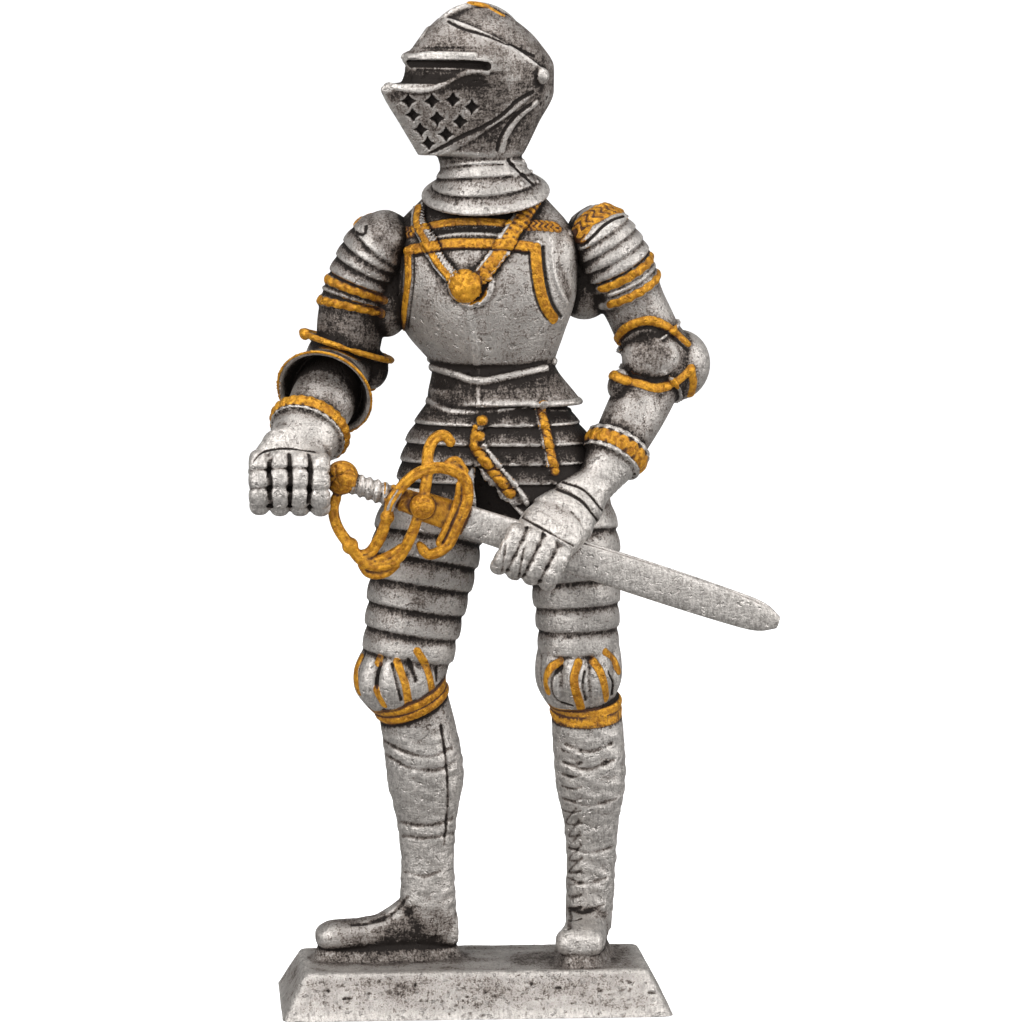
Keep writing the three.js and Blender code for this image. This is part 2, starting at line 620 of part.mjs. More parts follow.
// The sword: a blunt blade through the left hand, a bound grip, a ball pommel at the right fist, and a
// swept guard. Its parts are placed by distance from the pommel, rise across the blade and reach forward.
function sword() {
  const along = towards(pommel, bladeTip);
  const rise = v(0, 0, 0).crossVectors(forward, along).normalize();
  const length = pommel.distanceTo(bladeTip);
  const at = (distance, lift = 0, ahead = 0) => {
    const onAxis = pommel.clone().addScaledVector(along, distance);
    return onAxis.addScaledVector(rise, lift).addScaledVector(forward, ahead);
  };
  const through = (rows) => rows.map((row) => at(...row));
  const guardAt = 8.1;
  const blade = form({
    path: [at(guardAt), at(length)],
    facing: forward,
    table: [
      [0, 1.45, 0.85, 0.85, 3, 3],
      [0.2, 1.6, 0.85, 0.85, 3, 3],
      [0.6, 1.8, 0.75, 0.75, 3, 3],
      [0.9, 1.65, 0.65, 0.65, 3, 3],
      [0.96, 1.35, 0.55, 0.55, 2.6, 2.6],
      [1, 0.6, 0.4, 0.4, 2, 2],
    ],
    stops: [0, 0.2, 0.45, 0.7, 0.9, 0.95, 0.98, 1],
    sides: 12,
  });
  const thick = 0.5;
  const ring = [
    [5.0, -2.0, 1],
    [4.9, -0.3, 1.2],
    [6.2, 2.8, 1.4],
    [8.5, 4.3, 1.4],
    [10.9, 4.0, 1.2],
    [11.9, 2.2, 1],
    [11.8, -0.6, 0.8],
    [11.5, -3.0, 0.5],
    [10.1, -4.3, 0.2],
    [8.7, -3.5, 0.3],
  ];
  const upperQuillon = [
    [7.9, 0, 1.4],
    [7.4, 3.0, 1.3],
    [6.8, 5.4, 0.6],
    [7.0, 6.7, 0.4],
    [7.8, 7.3, 0.2],
    [9.0, 6.6, 0.2],
  ];
  const knuckleBow = [
    [7.8, -0.2, 1.4],
    [7.8, -3.2, 0.9],
    [7.2, -5.8, 0.2],
    [5.5, -7.0, 0],
    [4.0, -6.9, 0],
    [2.5, -5.9, 0.2],
    [0.7, -4.5, 0.2],
    [-0.2, -3.0, 0.2],
    [-0.3, -1.2, 0],
  ];
  const sideArm = [
    [5.0, -2.0, 1],
    [5.0, -4.2, 0.5],
    [4.5, -6.0, 0],
    [3.7, -6.5, 0],
  ];
  const thighArm = [
    [4.0, -7.1, -0.2],
    [5.2, -7.9, -0.5],
    [6.6, -7.4, -0.4],
    [7.5, -6.0, 0],
  ];
  const topArm = [
    [8.7, 4.4, 1.3],
    [9.6, 5.3, 1],
    [11.0, 4.4, 1.1],
  ];
  const bars = [
    bar(through(ring), thick, 14),
    bar(through(upperQuillon), thick, 7),
    bar(through(knuckleBow), thick, 10),
    bar(through(sideArm), thick, 3),
    bar(through(thighArm), thick, 4),
    bar(through(topArm), thick, 3),
  ];
  const grip = bar([at(0), at(guardAt + 1)], 0.9, 1);
  const socket = form({
    path: [at(guardAt - 2.2), at(guardAt + 4)],
    facing: forward,
    table: [
      [0, 1.1, 1.1, 1.1],
      [1, 1.5, 0.95, 0.95],
    ],
    stops: 2,
    sides: 8,
  });
  const knobs = [
    ball(at(-0.4, 0.2), along, 1.65, 1.7),
    ball(at(guardAt - 0.2, 0.1, 1.6), forward, 1.2, 1.25),
    ball(at(...ring[0]), rise, 0.75, 0.7, 6),
    ball(at(2.5, -5.9, 0.2), rise, 0.85, 0.8, 6),
  ];
  return { solids: [blade, grip, socket, ...bars, ...knobs], hold: at(20.8), along };
}

function arms({ hold, along }) {
  const bellRight = v(-14.8, -2.5, 57.4);
  const cuffRight = v(-16.4, -4.6, 53.9);
  const cuffLeft = v(14.1, -2.4, 51.4);
  const upLeft = elbowLeft.clone().addScaledVector(towards(elbowLeft, shoulderLeft), 3.1);
  const downLeft = elbowLeft.clone().addScaledVector(towards(elbowLeft, wristLeft), 2.5);
  const upRight = elbowRight.clone().addScaledVector(towards(elbowRight, shoulderRight), 1.7);
  const rightSizes = { armRadius: 3.2, cuffRadius: 4.0, wristRadius: 2.9 };
  const leftSizes = { armRadius: 2.9, cuffRadius: 3.2, wristRadius: 1.9 };
  return [
    upperArm({
      path: [v(-6.8, 1.2, 74.2), shoulderRight, v(-11.5, 2.7, 66.4), v(-12.4, 2.2, 60.2)],
      hoops: [0.12, 0.48],
      ropes: [0.53, 0.65],
      girth: 0.9,
      below: 3.35,
    }),
    upperArm({
      path: [v(11.0, 0.8, 75.2), shoulderLeft, v(16.2, 1.6, 66.2), elbowLeft],
      hoops: [0.1, 0.37],
      ropes: [0.41, 0.52],
      girth: 1,
      below: 3.15,
    }),
    bell(elbowRight, upRight, 3.3, 4.8),
    bell(elbowRight, bellRight, 3.4, 5.0).subtract(hollow(elbowRight, bellRight, 2.9, 4.5)),
    ball(v(0.1, 1.3, -0.3).add(elbowRight), v(-0.4, 0.9, -0.2), 3.2, 3.9),
    ball(v(-8.4, 2.6, 67.8), up, 5.2, 3.0),
    ball(v(11.4, 2.2, 69.0), up, 4.7, 3.6),
    ball(v(2.7, 0.4, -0.7).add(elbowRight), up, 2.2, 2.0),
    bell(elbowLeft, upLeft, 3.5, 3.7),
    bell(elbowLeft, downLeft, 3.5, 3.7),
    ball(v(-4.5, -3.3, -1.9).add(elbowLeft), v(0.3, 0, 1), 1.6, 1.2, 6),
    ball(v(-1.2, -2.3, 0.6).add(elbowLeft), v(-0.1, -1, 0.1), 2.2, 3.0),
    ball(v(1.7, 0.8, -0.3).add(elbowLeft), v(0.9, 0.3, -0.25), 3.2, 3.6),
    ...forearm({ elbow: elbowRight, cuff: cuffRight, wrist: wristRight, ...rightSizes }),
    ...forearm({ elbow: elbowLeft, cuff: cuffLeft, wrist: wristLeft, ...leftSizes }),
    ...rightHand(),
    ...leftHand(hold, along),
  ];
}

// The raised trim of the chest: crossed straps that hang a round boss
function straps() {
  const facing = turned(chestTurn);
  const meet = v(-1.0, -5.7, 68.2);
  const table = [
    [0, 0.6, 0.35, 0.8],
    [1, 0.6, 0.35, 0.8],
  ];
  const strap = (...points) => form({ path: [...points, meet], facing, table, stops: 7, sides: 6 });
  return [
    strap(v(-5.1, 1.5, 75.8), v(-5.5, -0.4, 74.2), v(-4.8, -2.2, 72.4), v(-3.7, -3.6, 70.6)),
    strap(v(6.3, -1.8, 76.8), v(5.4, -3.4, 75.2), v(4.1, -4.5, 73.9), v(2.8, -5.4, 71.9)),
    ball(meet.clone().addScaledVector(facing, 0.4), facing, 0.9, 1.6),
  ];
}

const blade = sword();
const figure = wasm.Manifold.union([
  torso(),
  skirt(),
  collar(),
  ...straps(),
  ...helmet(),
  ...legs(),
  ...arms(blade),
  ...blade.solids,
])
  .simplify(flatness)
  .scale([unit, unit, unit])
  .translate([0, 0, plinthHeight]);
const casting = figure.add(plinth());

const { vertProperties, triVerts } = casting.getMesh();
const geometry = new THREE.BufferGeometry();
geometry.setAttribute("position", new THREE.BufferAttribute(vertProperties, 3));
geometry.setIndex(new THREE.BufferAttribute(triVerts, 1));
const faceted = geometry.toNonIndexed();
faceted.computeVertexNormals();

const pewter = new THREE.MeshStandardMaterial({ color: 0x8f8b86, roughness: 0.42, metalness: 0.9 });
const knight = new THREE.Mesh(faceted, pewter);
knight.name = "knight_on_plinth";

const statue = new THREE.Group();
statue.add(knight);

export default statue;
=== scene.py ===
"""A pewter knight in late medieval plate armour, cast with its low plinth: antiqued metal with gold trim.

Shapes are worked out in millimetres, with heights counted from the plinth's top, and put into the meshes
in metres. Left and right are the knight's own. Places named in pixels are read off the photograph and are
carried along their sight line to the casting's own surface.
"""
import math

import bpy
import numpy as np
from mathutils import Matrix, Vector
from mathutils.bvhtree import BVHTree


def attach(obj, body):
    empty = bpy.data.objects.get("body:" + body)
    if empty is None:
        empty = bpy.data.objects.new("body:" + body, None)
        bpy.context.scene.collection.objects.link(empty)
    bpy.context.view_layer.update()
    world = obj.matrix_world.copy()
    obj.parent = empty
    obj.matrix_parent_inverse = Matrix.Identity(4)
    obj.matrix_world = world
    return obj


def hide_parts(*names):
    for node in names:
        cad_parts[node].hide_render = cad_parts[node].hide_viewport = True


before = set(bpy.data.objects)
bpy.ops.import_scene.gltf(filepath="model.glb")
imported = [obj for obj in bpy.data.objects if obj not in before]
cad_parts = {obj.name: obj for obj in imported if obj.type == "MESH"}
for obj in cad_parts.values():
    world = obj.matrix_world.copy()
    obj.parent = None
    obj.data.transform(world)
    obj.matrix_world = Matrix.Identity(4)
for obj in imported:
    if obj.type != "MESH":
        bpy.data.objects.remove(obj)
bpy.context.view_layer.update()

MM = 0.001
NODE = "knight_on_plinth"
TAU = 2 * math.pi

# Sizes of the plinth, the feet and the plates, in millimetres, and two turns in degrees
PLINTH_HEIGHT = 4.2
PLINTH_LEDGE_SIDE = 1.4
PLINTH_LEDGE_FRONT = 1.3
PLINTH_SLOPE_SIDE = 2.35
PLINTH_SLOPE_FRONT = 3.5
PLINTH_CORNER = 0.7
MOUND_SPREAD = 0.9
SOLE_LIFT = 0.9
TOE_REACH = 15.7
FOOT_REACH = 5.65
CHEST_TURN = 19
HEAD_TURN = 66
PLATE_STEP = 0.35
CAST_OVERLAP = 0.4
BALL_DEPTH = 1.4

# The camera: degrees round the figure, degrees up, millimetres away, and what it looks at
CAMERA_AZIMUTH = -4
CAMERA_ELEVATION = 6
CAMERA_AWAY = 500
CAMERA_TARGET = (4.0, 0.0, 49.4)
PIXELS = 1024
PIXELS_PER_MM = 10
SENSOR = 36

# Masks of gold and dark reach this far from their edges, in millimetres
EDGE_BAND = 0.5
# A pattern's height in millimetres, and how dark its valleys are
PATTERN_RELIEF = 0.1
VALLEY_DARK = 0.55
PATTERNED = ("rope", "engraved", "braided")
# The share of a place's distance off the surface that a trim leaves out
OFF_SURFACE = 0.8


def vec(*values):
    """The values as an array of numbers."""
    return np.array(values, dtype=float)


def unit(vectors):
    """Each vector divided by its own length."""
    return vectors / np.maximum(np.linalg.norm(vectors, axis=-1, keepdims=True), 1e-9)


UP = vec(0, 0, 1)
FORWARD = vec(0, -1, 0)

# Where the figure's joints, hands and sword are, in millimetres from the middle of the plinth's top
WAIST = vec(2.3, 1.0, 59.4)
HEAD = vec(1.2, 0.6, 87.8)
KNEE_RIGHT = vec(-6.9, 0.4, 28.2)
KNEE_LEFT = vec(10.8, 0.3, 28.6)
SHOULDER_RIGHT = vec(-9.3, 2.2, 71.4)
ELBOW_RIGHT = vec(-12.9, 2.2, 60.2)
WRIST_RIGHT = vec(-17.2, -6.6, 51.9)
SHOULDER_LEFT = vec(13.7, 0.9, 71.0)
ELBOW_LEFT = vec(19.2, 2.4, 59.9)
WRIST_LEFT = vec(11.7, -4.3, 48.0)
FIST_RIGHT = vec(-18.4, -9.0, 49.3)
POMMEL = vec(-13.0, -8.6, 49.3)
BLADE_TIP = vec(29.9, -7.8, 34.8)


def turned(degrees):
    """The front, turned about the upright towards the knight's right."""
    angle = math.radians(degrees)
    return vec(-math.sin(angle), -math.cos(angle), 0)


def ease(values, low, high):
    """0 at low, 1 at high, and 3t2 - 2t3 between them. With high under low it falls."""
    t = np.clip((values - low) / (high - low), 0, 1)
    return t * t * (3 - 2 * t)


def corner_blend(grid, base, t):
    """Grid values at the eight corners from base on, weighed by shares t along the axes. The grid repeats."""
    total = np.zeros(len(base))
    for corner in np.ndindex(2, 2, 2):
        i, j, k = ((base + corner) % grid.shape).T
        total += grid[i, j, k] * np.prod(np.where(corner, t, 1 - t), axis=1)
    return total


def speckle(points, size, seed):
    """Smooth noise from 0 to 1: random values on a cubic lattice, blended with an eased share."""
    lattice = np.random.default_rng(seed).random((32, 32, 32))
    place = points / size
    low = np.floor(place).astype(int)
    return corner_blend(lattice, low, ease(place - low, 0, 1))


# Curves and closed forms


def smooth_path(points, shares):
    """Points and directions at shares of the length of a curve through the points.

    Between two points it is the cubic whose end slopes weigh the spans beside them by the square roots of
    their lengths. The ends run on straight.
    """
    given = np.array(points, dtype=float)
    p = np.concatenate([[2 * given[0] - given[1]], given, [2 * given[-1] - given[-2]]])
    knots = np.sqrt(np.linalg.norm(np.diff(p, axis=0), axis=1))
    t = np.linspace(0, len(given) - 1, 60 * (len(given) - 1) + 1)
    i = np.minimum(t.astype(int), len(given) - 2)
    u = (t - i)[:, None]
    k0, k1, k2 = (knots[i + j][:, None] for j in range(3))
    p0, p1, p2, p3 = (p[i + j] for j in range(4))
    m1 = k1 * ((p1 - p0) / k0 - (p2 - p0) / (k0 + k1) + (p2 - p1) / k1)
    m2 = k1 * ((p2 - p1) / k1 - (p3 - p1) / (k1 + k2) + (p3 - p2) / k2)
    curve = p1 + u * (m1 + u * (3 * (p2 - p1) - 2 * m1 - m2 + u * (2 * (p1 - p2) + m1 + m2)))
    run = np.concatenate([[0], np.cumsum(np.linalg.norm(np.diff(curve, axis=0), axis=1))])
    run /= run[-1]
    slope = unit(np.gradient(curve, axis=0))

    def read(rows):
        """The rows at the shares, by straight lines between their places."""
        return np.stack([np.interp(shares, run, rows[:, c]) for c in range(rows.shape[1])], axis=-1)

    return read(curve), unit(read(slope))


def table_at(rows, positions, steady=False):
    """Values read from rows [position, value, ...] at positions, by a cubic from row to row.

    The slope at a row is the one between its neighbours. If steady, it is the harmonic mean of the slopes
    at its two sides, and level where they differ in sign, so that nothing swings past a row.
    """
    rows = np.array(rows, dtype=float)
    x, y = rows[:, 0], rows[:, 1:]
    gaps = np.diff(x)[:, None]
    rates = np.diff(y, axis=0) / gaps
    if steady:
        product = rates[:-1] * rates[1:]
        total = rates[:-1] + rates[1:]
        inner = np.where(product > 0, 2 * product / np.where(total == 0, 1, total), 0)
        slopes = np.concatenate([rates[:1], inner, rates[-1:]])
    else:
        places = np.arange(len(x))
        before, after = np.maximum(places - 1, 0), np.minimum(places + 1, len(x) - 1)
        slopes = (y[after] - y[before]) / (x[after] - x[before])[:, None]
    i = np.clip(np.searchsorted(x, positions, side="right") - 1, 0, len(x) - 2)
    t = np.clip((positions - x[i]) / gaps[i, 0], 0, 1)[:, None]
    m0, m1, rise = slopes[i] * gaps[i], slopes[i + 1] * gaps[i], y[i + 1] - y[i]
    return y[i] + t * (m0 + t * (3 * rise - 2 * m0 - m1 + t * (m0 + m1 - 2 * rise)))


def filled(rows):
    """Rows of [position, half, ahead] with what they leave out: behind as ahead, and both powers 2."""
    return [[*row, *([row[2]] if len(row) < 4 else []), 2, 2][:6] for row in rows]


def section(reach, angles):
    """How far lengthways and across the points of superellipses lie, for rows of reach and angles.

    Lengthways is the reach ahead or behind times |cos| to the power 2/n, and across is the half width
    times |sin| to the same power, each with the sign of its cosine or sine.
    """
    half, ahead, behind, power, back = (reach[:, c, None] for c in range(5))
    c, s = np.cos(angles)[None, :], np.sin(angles)[None, :]
    n = 2 / np.where(c > 0, power, back)
    lengthways = np.sign(c) * np.abs(c) ** n * np.where(c > 0, ahead, behind)
    return lengthways, np.sign(s) * np.abs(s) ** n * half


def closed(grid):
    """A closed skin over a grid of rings, with a point in the middle of each end, facing out."""
    rings, sides = grid.shape[:2]
    points = np.concatenate([grid.reshape(-1, 3), [grid[0].mean(axis=0), grid[-1].mean(axis=0)]])
    i = np.arange(sides)
    j = (i + 1) % sides
    starts = (np.arange(rings - 1) * sides)[:, None]
    a, b, c, d = starts + i, starts + sides + i, starts + j, starts + sides + j
    last, first = (rings - 1) * sides, len(points) - 2
    faces = np.concatenate(
        [
            np.stack([a, b, c], axis=-1).reshape(-1, 3),
            np.stack([c, b, d], axis=-1).reshape(-1, 3),
            np.stack([np.full(sides, first), i, j], axis=-1),
            np.stack([np.full(sides, first + 1), last + j, last + i], axis=-1),
        ]
    )
    corners = points[faces]
    volume = np.einsum("ij,ij->", corners[:, 0], np.cross(corners[:, 1], corners[:, 2]))
    return points, faces if volume > 0 else faces[:, ::-1]


class Form:
    """A form swept along a smooth path, its rings square to the path or level.

    A row of its table is [share of the path, half width, reach ahead, reach behind, front power, back
    power]. Relief, a function of shares and angles from the front, is added outwards. Edges are shares
    that get a ring of their own.
    """

    def __init__(self, path, facing, table, level=False, relief=None, edges=()):
        self.path = path
        self.facing = facing
        self.table = filled(table)
        self.level = level
        self.relief = relief
        self.edges = list(edges)

    def points(self, shares, angles):
        """The path's places, plus the front and the side times the reaches of the section."""
        shares, angles = np.atleast_1d(shares), np.atleast_1d(angles)
        centre, along = smooth_path(self.path, shares)
        if self.level:
            along = np.broadcast_to(UP, centre.shape)
        side = unit(np.cross(self.facing, along))
        front = np.cross(along, side)
        lengthways, across = section(table_at(self.table, shares), angles)
        if self.relief:
            swell = self.relief(shares[:, None], angles[None, :])
            grow = 1 + swell / np.maximum(np.hypot(lengthways, across), 0.05)
            lengthways, across = lengthways * grow, across * grow
        return centre[:, None] + front[:, None] * lengthways[..., None] + side[:, None] * across[..., None]

    def length(self):
        """The path's length, summed over short steps."""
        curve = smooth_path(self.path, np.linspace(0, 1, 60))[0]
        return np.linalg.norm(np.diff(curve, axis=0), axis=1).sum()

    def shell(self, step=0.16, sides=96):
        """A closed skin over rings at even shares of the path and at its edges."""
        count = max(8, int(self.length() / step))
        shares = np.unique(np.concatenate([np.linspace(0, 1, count), self.edges]))
        return closed(self.points(shares, np.linspace(0, TAU, sides, endpoint=False)))

    def ring(self, share, start=0, end=360, count=72):
        """A line round the form at one share of its path, between two angles in degrees."""
        return self.points(share, np.radians(np.linspace(start, end, count)))[0]


def lapped(first, last, plates, proud=PLATE_STEP, belly=0.12, flip=False):
    """Relief and edges of plates that lap: each rises to its edge with a belly, then steps back.

    At a share f of its own plate the relief is proud * f + belly * sin(pi f), or proud * (1 - f) flipped.
    """
    marks = np.linspace(first, last, plates + 1)
    gap = 0.03 * (last - first) / plates
    edges = np.clip(np.concatenate([marks - gap, marks + gap]), 0, 1)

    def relief(share, angle):
        """The rise at a share, the same all the way round."""
        place = (share - first) / (last - first) * plates
        f = place - np.floor(place)
        rise = (proud * (1 - f) if flip else proud * f) + belly * np.sin(np.pi * f)
        return np.where((share > first) & (share < last), rise, 0) + 0 * angle

    return {"relief": relief, "edges": edges}


def bar(points, radius, relief=None):
    """A round bar through points, with rounded ends."""
    rows = [[0, radius * 0.5, radius * 0.5], [0.04, radius, radius]]
    rows += [[0.96, radius, radius], [1, radius * 0.5, radius * 0.5]]
    return Form(points, FORWARD, rows, relief=relief)


def ball(centre, axis, half, round_, sides=48):
    """An ellipsoid with its poles along an axis: centre + axis half cos(v) + round sin(v) across it."""
    axis = unit(np.array(axis, dtype=float))
    other = unit(np.cross(axis, vec(0.31, 0.2, 0.93)))
    third = np.cross(axis, other)
    v = np.linspace(0.02, math.pi - 0.02, sides // 2)[:, None, None]
    u = np.linspace(0, TAU, sides, endpoint=False)[None, :, None]
    around = other * np.cos(u) + third * np.sin(u)
    return closed(centre + axis * half * np.cos(v) + around * round_ * np.sin(v))


def prism(corners, low, high, place):
    """A straight prism over a polygon: place(x, y, depth) puts its corners at two depths."""
    grid = np.array([[place(x, y, depth) for x, y in corners] for depth in (low, high)])
    return closed(grid)


# Meshes that are fused, cut and thinned


def mesh_of(points, faces, name):
    """A mesh of points and faces."""
    mesh = bpy.data.meshes.new(name)
    mesh.from_pydata(points, [], faces)
    mesh.update()
    return mesh


def arrays_of(mesh):
    """A mesh's points and triangles as arrays."""
    points = np.empty(3 * len(mesh.vertices))
    mesh.vertices.foreach_get("co", points)
    mesh.calc_loop_triangles()
    faces = np.empty(3 * len(mesh.loop_triangles), dtype=int)
    mesh.loop_triangles.foreach_get("vertices", faces)
    return points.reshape(-1, 3), faces.reshape(-1, 3)


def modified(shell, kind, other=None, **settings):
    """A shell after one modifier, fused, cut or thinned, as points and triangles."""
    helpers = []
    for part, name in [(shell, "work"), (other, "tool")]:
        if part is not None:
            helper = bpy.data.objects.new(name, mesh_of(*part, name))
            bpy.context.scene.collection.objects.link(helper)
            helpers.append(helper)
    modifier = helpers[0].modifiers.new("step", kind)
    for key, value in settings.items():
        setattr(modifier, key, value)
    if other is not None:
        modifier.object = helpers[1]
    graph = bpy.context.evaluated_depsgraph_get()
    made = bpy.data.meshes.new_from_object(helpers[0].evaluated_get(graph))
    result = arrays_of(made)
    bpy.data.meshes.remove(made)
    for helper in helpers:
        data = helper.data
        bpy.data.objects.remove(helper)
        bpy.data.meshes.remove(data)
    return result


def joined(shells):
    """Several shells as one list of points and one of triangles."""
    starts = np.cumsum([0] + [len(points) for points, _ in shells[:-1]])
    points = np.concatenate([points for points, _ in shells])
    return points, np.concatenate([faces + start for (_, faces), start in zip(shells, starts)])


def edges_of(faces):
    """The two ends of every edge, each edge once."""
    pairs = np.sort(np.concatenate([faces[:, [0, 1]], faces[:, [1, 2]], faces[:, [2, 0]]]), axis=1)
    top = faces.max() + 1
    keys = np.unique(pairs[:, 0].astype(np.int64) * top + pairs[:, 1])
    return keys // top, keys % top


def summed(index, values, count):
    """Values added up by index, column by column."""
    if values.ndim == 1:
        return np.bincount(index, values, count)
    return np.stack([np.bincount(index, column, count) for column in values.T], axis=1)


def neighbours(ends, values):
    """The mean over each point's neighbours."""
    a, b = ends
    count = len(values)
    degree = np.maximum(np.bincount(a, minlength=count) + np.bincount(b, minlength=count), 1)
    total = summed(a, values[b], count) + summed(b, values[a], count)
    return total / (degree[:, None] if values.ndim > 1 else degree)


def spread(ends, values, times):
    """Values smoothed over a mesh: each point takes the mean of itself and its neighbours' mean."""
    for _ in range(times):
        values = 0.5 * values + 0.5 * neighbours(ends, values)
    return values


def evened(ends, points, times):
    """Points smoothed without shrinking: half a step to the neighbours' mean, then 0.52 of one back."""
    for _ in range(times):
        for share in (0.5, -0.52):
            points = points + share * (neighbours(ends, points) - points)
    return points


def normals_of(points, faces):
    """The normal at each point: the cross products of its triangles' sides, added and made unit."""
    corners = points[faces]
    cross = np.cross(corners[:, 1] - corners[:, 0], corners[:, 2] - corners[:, 0])
    return unit(sum(summed(faces[:, k], cross, len(points)) for k in range(3)))


# The camera, and places carried from the photograph to a surface

azimuth, elevation = math.radians(CAMERA_AZIMUTH), math.radians(CAMERA_ELEVATION)
view_right = vec(math.cos(azimuth), math.sin(azimuth), 0)
view_back = unit(vec(math.sin(azimuth), -math.cos(azimuth), math.tan(elevation)))
view_up = np.cross(view_back, view_right)
eye = vec(*CAMERA_TARGET) - vec(0, 0, PLINTH_HEIGHT) + CAMERA_AWAY * view_back


def tree_of(points, faces):
    """A surface as a search tree, which sight lines can meet."""
    return BVHTree.FromPolygons(points.tolist(), faces.tolist())


def traced(tree, pixels, closely=0.25):
    """Where the sight lines of a smooth curve through pixels first meet a surface, or pass nearest."""
    pixels = np.array(pixels, dtype=float)
    if len(pixels) > 1:
        length = np.linalg.norm(np.diff(pixels, axis=0), axis=1).sum() / PIXELS_PER_MM
        pixels = smooth_path(pixels, np.linspace(0, 1, max(3, int(length / closely))))[0]
    found = []
    for across, down in pixels:
        aim = view_right * (across - PIXELS / 2) - view_up * (down - PIXELS / 2)
        line = aim / (CAMERA_AWAY * PIXELS_PER_MM) - view_back
        hit = tree.ray_cast(Vector(eye), Vector(line))[0]
        if hit is None:
            hit = tree.find_nearest(Vector(eye + line * CAMERA_AWAY))[0]
        found.append(tuple(hit))
    return np.array(found)


class Trim:
    """A line on the surface with a profile across it: raised or cut, gilt or bare, or darkened.

    Half is its half width, height its rise or depth, and pitch the length of one turn of its pattern, in
    millimetres. Gold is 1 for gilt and -1 for bare metal, dark is 1 for a drawn line, and the wash, of patina
    and painted shade, is a share.

    A flat trim has eased edges. A round one is a half circle, scaled. A rope is a round one with a wave
    along it that slants across. A groove is cut as a V. An engraved one is flat with a scrolling wave, and
    a braided one has two waves that cross. A wash of patina and painted shade only darkens, most in its
    middle.
    """

    def __init__(self, line, half, height=0.0, kind="flat", gold=0, dark=0, pitch=0.75, wash=0.0):
        self.line = np.atleast_2d(line)
        self.half = half
        self.height = height
        self.kind = kind
        self.gold = gold
        self.dark = dark
        self.pitch = pitch
        self.wash = wash

    def near(self, points, margin):
        """Which points lie in the box round the line, with a margin, by their numbers."""
        reach = self.half + margin
        low, high = self.line.min(axis=0) - reach, self.line.max(axis=0) + reach
        return np.nonzero(np.all((points > low) & (points < high), axis=1))[0]

    def measure(self, points, normals):
        """How far points lie from the line, how far along it, and on which side, seen from outside."""
        start = self.line[:-1] if len(self.line) > 1 else self.line
        step = np.diff(self.line, axis=0) if len(self.line) > 1 else np.full((1, 3), 1e-6)
        size = np.linalg.norm(step, axis=1)
        run = np.concatenate([[0], np.cumsum(size)[:-1]])
        best = np.full(len(points), 1e9)
        along = np.zeros(len(points))
        side = np.ones(len(points))
        for a, d, length, before in zip(start, step, size, run):
            offset = points - a
            t = np.clip(offset @ d / max(length**2, 1e-12), 0, 1)
            away = offset - t[:, None] * d
            away -= OFF_SURFACE * normals * np.sum(away * normals, axis=1, keepdims=True)
            distance = np.linalg.norm(away, axis=1)
            closer = distance < best
            best = np.where(closer, distance, best)
            along = np.where(closer, before + t * length, along)
            across = np.sum(away * np.cross(d, normals), axis=1)
            side = np.where(closer, np.where(across < 0, -1, 1), side)
        return best, along, side

    def pattern(self, distance, along, side):
        """How far up its pattern a point lies, from -1 to 1: a slanted, a scrolling or a crossing wave."""
        share = distance / self.half
        if self.kind == "rope":
            turn = along / self.pitch + 0.5 * side * np.minimum(share, 1)
            return 2 * np.abs(np.cos(math.pi * turn)) ** 0.6 - 1
        if self.kind == "engraved":
            return np.sin(TAU * along / self.pitch + 1.9 * np.sin(1.7 * math.pi * side * share))
        if self.kind == "braided":
            first, second = math.pi * along / self.pitch, 0.5 * math.pi * side * share
            return np.sin(first + second) * np.sin(first - second)
        return np.ones(len(distance))

    def rise(self, distance, along, side):
        """Height by distance: a V, a half circle, or a flat with eased edges and its pattern."""
        share = distance / self.half
        if self.kind == "groove":
            return -self.height * np.clip(1 - share, 0, 1)
        hump = np.sqrt(np.clip(1 - share**2, 0, 1))
        if self.kind == "round":
            return self.height * hump
        if self.kind == "rope":
            return self.height * hump * (0.75 + 0.25 * self.pattern(distance, along, side))
        flat = self.height * ease(share, 1.2, 0.8)
        if self.kind in ("engraved", "braided"):
            flat = flat + PATTERN_RELIEF * ease(share, 1.05, 0.8) * self.pattern(distance, along, side)
        return flat


def pen(tree):
    """A function that makes a trim along a line of pixels, carried to a surface."""
    return lambda pixels, *sizes, **settings: Trim(traced(tree, pixels), *sizes, **settings)


def surveyed(trims, points, normals):
    """What the trims add: height, how far inside the edge of gold and dark, in mm, and shares of wash, patina
    and painted shade.
    """
    height, wash = np.zeros(len(points)), np.zeros(len(points))
    gold, dark = np.full(len(points), -EDGE_BAND), np.full(len(points), -EDGE_BAND)
    for trim in trims:
        index = trim.near(points, EDGE_BAND)
        if not len(index):
            continue
        distance, along, side = trim.measure(points[index], normals[index])
        inside = np.clip(trim.half - distance, -EDGE_BAND, EDGE_BAND)
        height[index] += trim.rise(distance, along, side)
        if trim.gold > 0:
            gold[index] = np.maximum(gold[index], inside)
        if trim.gold < 0:
            gold[index] = np.minimum(gold[index], -inside)
        if trim.dark:
            dark[index] = np.maximum(dark[index], inside)
        if trim.wash:
            wash[index] = np.maximum(wash[index], trim.wash * ease(distance, trim.half, 0.2 * trim.half))
        if trim.kind in PATTERNED:
            valley = ease(-trim.pattern(distance, along, side), -0.1, 0.6)
            valley = valley * ease(distance, trim.half, 0.8 * trim.half)
            wash[index] = np.maximum(wash[index], VALLEY_DARK * valley)
    return height, gold, dark, wash


# The helmet and its collar


